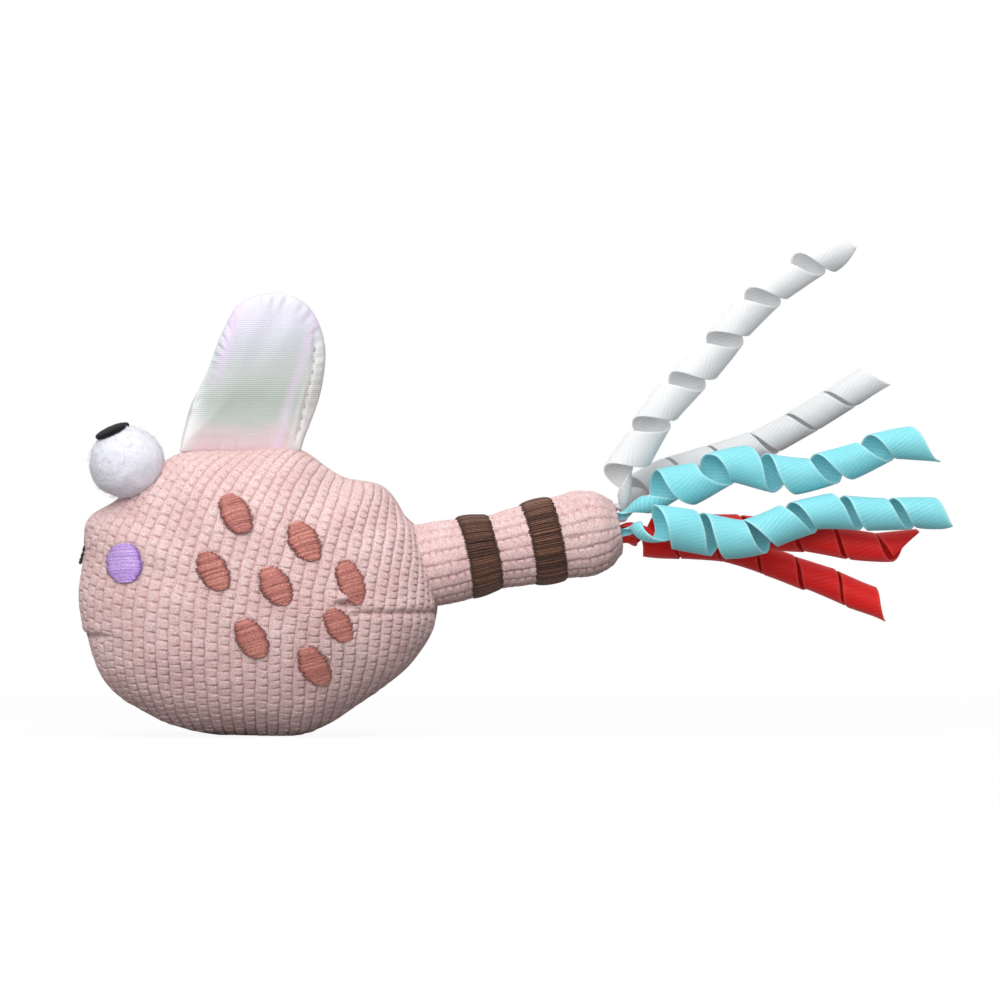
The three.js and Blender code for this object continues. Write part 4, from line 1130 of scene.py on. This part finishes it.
def add_tail():
    around = 240
    along = np.arange(-2.5, TAIL_LENGTH + 0.01, 0.3)
    a, g = np.meshgrid(along, circle(around), indexing="ij")
    radius = tail_radius(a)
    height = waffle(g * TAIL_RIBS * RIB / (2 * math.pi), a, TAIL_STITCH, 31)
    for start in BANDS:
        inside = BAND_WIDTH / 2 - np.abs(a - start * TAIL_LENGTH - BAND_WIDTH / 2)
        height = lerp(height, UNDER_BANDS, smoothstep(inside, -0.2, 0.4))
    lumps = 0.3 * noise(np.stack([a, radius * np.cos(g), radius * np.sin(g)], -1), 9, 33)
    pinch = smoothstep(a, TAIL_LENGTH - 5, TAIL_LENGTH)
    radius = radius + WAFFLE_TOP - WAFFLE_DEPTH * (1 - height) * (1 - 0.5 * pinch) + lumps
    points = on_tail(a, g, radius * (1 - 0.1 * pinch * np.abs(np.cos(g))))
    # The end is turned in round the ribbons
    turned_in = ((0.86, 0.35), (0.62, 0.2), (0.35, -0.4))  # share of the radius, and place along
    inner = [lerp(TAIL_TIP, points[-1], share) + ahead * TAIL_AXIS for share, ahead in turned_in]
    points = np.concatenate([points, inner])
    # The turned-in end takes the low IN_END value, a painted shade inside the tail's end
    ribs = np.concatenate([height, np.full((len(inner), around), IN_END)])
    faces = stack_faces(len(points), around)
    piece = make("tail_plush", points, faces, PLUSH, None, ["tail_cover", "tail_stuffing"], {"rib": ribs})
    start, end = (tuple((TAIL_ROOT + TAIL_AXIS * reach) * MM) for reach in (-2, 9))
    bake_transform(piece)
    for k, start in enumerate(BANDS):
        add_band(k + 1, start * TAIL_LENGTH)


def add_band(number, start):
    """Satin stitches along the tail, side by side round it"""
    count = 118
    over, ragged, lowest, height, uneven, stray, width = 0.15, 0.35, 0.1, 0.78, 0.1, 0.12, 0.3
    end = start + BAND_WIDTH
    seeds = range(200 + 10 * number, 208 + 10 * number)
    place, bow, first, last, loose, lift, thick, tone = (picks(count, seed) for seed in seeds)
    t = np.linspace(0, 1, 12)
    arch = np.sin(math.pi * t)
    hump = arch**0.4
    angle = 2 * math.pi * (np.arange(count)[:, None] + 0.35 * (place - 0.5)) / count
    angle = angle + 0.02 * arch * (bow - 0.5)
    a = lerp(start - over - ragged * first, end + over + ragged * last, t)
    radius = tail_radius(a) + lowest + (height + uneven * (lift - 0.5) + stray * (loose > 0.82)) * hump
    points = on_tail(a, angle, radius)
    out = unit(points - on_tail(a, angle, 0 * radius))
    thick = width * (0.85 + 0.3 * thick) * (0.6 + 0.4 * hump)
    tone = 0.25 + 0.5 * tone + 0 * t
    # Painted shade: each stitch darkens towards its ends, where it dives into the cloth
    inner = 0.6 + 0.45 * smoothstep(arch, 0.05, 0.5) + 0 * tone
    # The cloth under the stitches
    around = 96
    a, g = np.meshgrid(np.linspace(start + 0.1, end - 0.1, 8), circle(around), indexing="ij")
    top = on_tail(a, g, tail_radius(a) + 0.45)
    low = on_tail(a, g, tail_radius(a) - 0.6)
    cloth = np.concatenate([top, low[::-1]])
    faces = [grid_faces(len(cloth), around, True, True)]
    fields = {"tone": tone, "inner": inner}
    add_satin(f"tail_band_{number}", "tail", BROWN, points, thick, out, fields, cloth, faces, cloth_shade=0.2)


# Ribbons

CURL_RADIUS = 4.4
CURL_STEPS = 10
FINE = 12  # steps of these strips for each of the frame's
GATHER_LENGTH, GATHER_WIDTH, GATHER_RADIUS = 18, 2.6, 0.5
RIBBON_WIDTH = 9.7
RIBBON_THICKNESS = 0.42
END_SLANT = 0.9
RIBBON_RIB = 1.1  # from one rib of the weave to the next
RIB_HEIGHT = 0.022
CUP = 1.6  # depth of the strip's hollow where it is gathered
END_FACE = 6.6  # radius of the tail's end
TUCK = 1.8  # the root is held this far inside the end of the tail
# For each ribbon: reach, pitch, turn at the start in degrees, radius at both ends as shares of
# CURL_RADIUS, root on the tail's end as shares of END_FACE, and route as shares of the reach
RIBBONS = {
    "white_1": (98, 15.2, -116, (1.11, 0.96), (0, 0.75), [
        (0.01, -0.031, 0.134), (0.059, -0.031, 0.216), (0.098, -0.031, 0.283), (0.142, -0.031, 0.343),
        (0.203, -0.031, 0.409), (0.258, -0.031, 0.464), (0.307, -0.031, 0.526), (0.368, -0.031, 0.597),
        (0.429, -0.031, 0.652), (0.484, -0.031, 0.691), (0.539, -0.031, 0.727), (0.594, -0.031, 0.754),
        (0.622, -0.031, 0.765)]),
    "white_2": (82, 12, 126, (0.89, 0.89), (0.65, 0.3), [
        (0.032, 0.078, 0.09), (0.111, 0.125, 0.148), (0.21, 0.136, 0.188), (0.309, 0.14, 0.217),
        (0.4, 0.139, 0.245), (0.493, 0.138, 0.278), (0.615, 0.137, 0.344), (0.723, 0.136, 0.41),
        (0.841, 0.135, 0.485)]),
    "turquoise_1": (87, 15, 180, (1.27, 0.93), (-0.45, 0.4), [
        (0.092, -0.042, 0.075), (0.167, -0.045, 0.122), (0.244, -0.062, 0.138), (0.31, -0.069, 0.172),
        (0.38, -0.069, 0.189), (0.471, -0.069, 0.17), (0.567, -0.069, 0.16), (0.655, -0.069, 0.182),
        (0.74, -0.069, 0.207), (0.816, -0.069, 0.241), (0.892, -0.069, 0.257), (0.966, -0.069, 0.255)]),
    "turquoise_2": (87, 13.4, 151, (1.36, 0.89), (-0.6, -0.3), [
        (0.138, -0.142, 0.002), (0.253, -0.136, -0.017), (0.362, -0.126, -0.036), (0.448, -0.116, -0.021),
        (0.54, -0.107, 0.017), (0.654, -0.103, 0.045), (0.797, -0.103, 0.039), (0.939, -0.103, 0.043),
        (1, -0.103, 0.04)]),
    "red_1": (80, 12.2, 182, (1.02, 0.86), (0, -0.15), [
        (0.087, 0.035, -0.015), (0.237, 0.035, -0.015), (0.412, 0.035, -0.016), (0.562, 0.035, -0.03),
        (0.677, 0.035, -0.039), (0.775, 0.035, -0.057), (0.875, 0.035, -0.07), (0.981, 0.035, -0.062)]),
    "red_2": (72, 12.1, -4, (0.89, 0.84), (0.5, -0.6), [
        (0.111, 0.142, -0.064), (0.222, 0.189, -0.069), (0.361, 0.206, -0.076), (0.486, 0.206, -0.1),
        (0.594, 0.206, -0.14), (0.692, 0.206, -0.178), (0.793, 0.206, -0.211), (0.91, 0.206, -0.262),
        (0.986, 0.206, -0.289)]),
}


def wind(name, number):
    """A ribbon's middle line on its helix, the helix's axis, way out and radius, and how open it is"""
    reach, pitch, start, swell, root, places = RIBBONS[name]
    root = np.array([0, *root]) * END_FACE
    root = root + TAIL_AXIS * (0.5 - root @ TAIL_AXIS)
    route = Spline(np.concatenate([[root, root + TAIL_AXIS * GATHER_WIDTH], np.array(places) * reach]))
    steps = round(CURL_STEPS * route.length / pitch) * FINE
    axis, normal, binormal = route.frames(steps)
    share = np.arange(steps + 1) / steps
    away = route.length * share
    openness = smoothstep(away, GATHER_RADIUS, GATHER_LENGTH)
    turn = math.radians(start) + 2 * math.pi * np.arange(steps + 1) / (CURL_STEPS * FINE)
    face = normal * np.cos(turn)[:, None] + binormal * np.sin(turn)[:, None]
    uneven = 1 + 0.02 * noise_along(away, 9, 300 + number)
    radius = lerp(GATHER_RADIUS, CURL_RADIUS * lerp(*swell, share), openness) * uneven
    middle = route.even(share) + face * radius[:, None]
    if name == "turquoise_1":  # leaves room for the other turquoise ribbon when it sways
        nudge = bell(away - 10.3, 5) * smoothstep(away, 1, 6)
        middle = middle + nudge[:, None] * [0, 0.45, 0.45]
    return middle, axis, face, radius, openness


def add_ribbon(name, number):
    middle, axis, face, radius, openness = wind(name, number)
    steps = len(middle) - 1
    k = np.arange(steps + 1)
    along = unit(middle[np.minimum(k + FINE, steps)] - middle[np.maximum(k - FINE, 0)])
    along = unit(lerp(TAIL_AXIS, along, smoothstep(k, 0, FINE)[:, None]))
    across = unit(np.cross(along, face))
    around = np.cross(axis, face)
    run = np.concatenate([[0], np.cumsum(np.linalg.norm(np.diff(middle, axis=0), axis=1))])
    # Across the strip: it rolls round the helix where it is open, and cups where it is gathered
    s = np.concatenate([[-1, -0.95, -0.88], np.linspace(-0.75, 0.75, 9), [0.88, 0.95, 1]])
    width = lerp(GATHER_WIDTH, RIBBON_WIDTH, openness)[:, None]
    bend = np.maximum(radius, GATHER_WIDTH)[:, None]
    offset = width / 2 * s
    roll = offset * np.einsum("ij,ij->i", across, around)[:, None] / bend
    out = face[:, None] * np.cos(roll)[..., None] + around[:, None] * np.sin(roll)[..., None]
    cup = CUP * (1 - width / RIBBON_WIDTH) * (0.5 - s**2)
    spot = np.stack([run[:, None] + 0 * offset, 3 * s + 0 * offset], -1)
    wave = 0.09 * noise(spot, 6, 310 + number) + 0.08 * noise(spot, 2.5, 315 + number) * s**2
    slant = END_SLANT * smoothstep(k, steps - 1.6 * FINE, steps)[:, None] * s
    bed = (
        middle[:, None]
        + out * (bend + cup + wave)[..., None]
        - face[:, None] * bend[..., None]
        + axis[:, None] * (offset * np.einsum("ij,ij->i", across, axis)[:, None])[..., None]
        + along[:, None] * slant[..., None]
    )
    slope = 0.35 * noise_along(run, 4, 320 + number)[:, None] * s
    ribs = 0.5 + 0.5 * np.cos(2 * math.pi * (run[:, None] + slope) / RIBBON_RIB)
    strong = 0.55 + 0.45 * noise(spot, 2.2, 330 + number)
    thick = out * (RIBBON_THICKNESS / 2 + RIB_HEIGHT * ribs * strong * (1 - s**8))[..., None]
    rings = np.concatenate([bed + thick, (bed - thick)[:, ::-1]], axis=1)
    rings = np.concatenate([rings[:1] - TUCK * TAIL_AXIS, rings])
    # Painted shade: the ribbon darkens between its ribs, and more on the face inside the curl
    shade = 0.5 + 0.45 * (ribs - 0.5) * strong
    shade = np.concatenate([shade, shade[:, ::-1] - 0.12], axis=1)
    shade = np.concatenate([shade[:1], shade])
    edge = np.tile(smoothstep(np.abs(s), 0.86, 0.93), (steps + 2, 2))
    rows, cols = rings.shape[:2]
    strip = np.arange(len(s) - 1)
    cap = np.stack([strip, strip + 1, cols - 2 - strip, cols - 1 - strip], -1)
    colour = name.split("_")[0]
    faces = [grid_faces(rows, cols, True), cap[:, ::-1], cap + (rows - 1) * cols]
    ribbon = "ribbon_" + name
    fields = {"rib": shade, "edge": edge}
    piece = make(ribbon + "_curl", rings + TAIL_TIP, faces, GROSGRAINS[colour], ribbon, [ribbon], fields)


def paint_inner_pieces():
    for name in ("squeaker_bulb", "squeaker_reed"):
        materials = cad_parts[name].data.materials
        if not materials:
            materials.append(PLASTIC)
        for k in range(len(materials)):
            materials[k] = PLASTIC


# Floor, light and background

FLOOR_HALF = 6.0  # metres
FLOOR_BELOW = 0.0002  # metres, so that the belly isn't in the same plane
WHITE_FROM, WHITE_TO = 0.25, 0.55  # metres from the toy over which its shadow fades out
LAMPS = (  # name, place, size and power
    ("top", (60, -200, 620), 620, 2.2),
    ("front", (-100, -800, 400), 700, 6.5),
)
LAMP_AIM = (60, 0, 60)


def white_to_the_eye(nodes):
    """1 for rays that the camera, a gloss or a clear piece sends out"""
    rays = nodes.add("ShaderNodeLightPath").outputs
    shown = nodes.math("MAXIMUM", rays["Is Camera Ray"], rays["Is Glossy Ray"])
    return nodes.math("MAXIMUM", shown, rays["Is Transmission Ray"])


def add_floor():
    mesh = bpy.data.meshes.new("floor")
    corners = [(x * FLOOR_HALF, y * FLOOR_HALF, 0) for x, y in ((-1, -1), (1, -1), (1, 1), (-1, 1))]
    mesh.from_pydata(corners, [], [(0, 1, 2, 3)])
    floor = add_object("floor", mesh)
    floor.location = (0, 0, -FLOOR_BELOW)
    material = bpy.data.materials.new("pale_floor")
    material.use_nodes = True
    nodes = Nodes(material.node_tree)
    plain = nodes.add("ShaderNodeBsdfDiffuse", Color=(0.22, 0.215, 0.21, 1))
    pale = nodes.add("ShaderNodeBsdfDiffuse", Color=(0.9, 0.9, 0.9, 1))
    glow = nodes.add("ShaderNodeEmission", Strength=1.0)
    # White everywhere but round the toy, where a part of the light that falls on it shows the shadow
    far = nodes.add("ShaderNodeVectorMath", {"operation": "LENGTH"}, _0=nodes.place()).outputs["Value"]
    share = nodes.add(
        "ShaderNodeMapRange", {"interpolation_type": "SMOOTHSTEP"},
        Value=far, From_Min=WHITE_FROM, From_Max=WHITE_TO, To_Min=0.93, To_Max=1.0,
    )
    shown = nodes.mix_shaders(share.outputs[0], pale, glow)
    mix = nodes.mix_shaders(white_to_the_eye(nodes), plain, shown)
    nodes.add("ShaderNodeOutputMaterial", Surface=mix.outputs[0])
    mesh.materials.append(material)


def add_lights():
    for name, place, size, power in LAMPS:
        data = bpy.data.lights.new(name, "AREA")
        data.shape = "SQUARE"
        data.size = size * MM
        data.energy = power
        lamp = add_object(name, data)
        lamp.location = np.array(place) * MM
        lamp.rotation_euler = (Vector(LAMP_AIM) - Vector(place)).to_track_quat("-Z", "Y").to_euler()


def add_world():
    world = bpy.data.worlds.new("studio")
    bpy.context.scene.world = world
    world.use_nodes = True
    nodes = Nodes(world.node_tree)
    soft = nodes.add("ShaderNodeBackground", Color=(0.97, 0.985, 1, 1), Strength=0.48)
    white = nodes.add("ShaderNodeBackground", Color=(1, 1, 1, 1), Strength=1.0)
    mix = nodes.mix_shaders(white_to_the_eye(nodes), soft, white)
    nodes.add("ShaderNodeOutputWorld", Surface=mix.outputs[0])


bpy.context.scene.view_settings.view_transform = "Standard"
for label, side in SIDES:
    add_body_cover(label, side)
    add_wing(label, side)
add_body_seam()
for label, side in SIDES:
    add_embroidery(label, side)
add_mouth()
for label, side in SIDES:
    add_eye(label, side)
add_tail()
for number, name in enumerate(RIBBONS):
    add_ribbon(name, number)
paint_inner_pieces()
add_floor()
add_lights()
add_world()
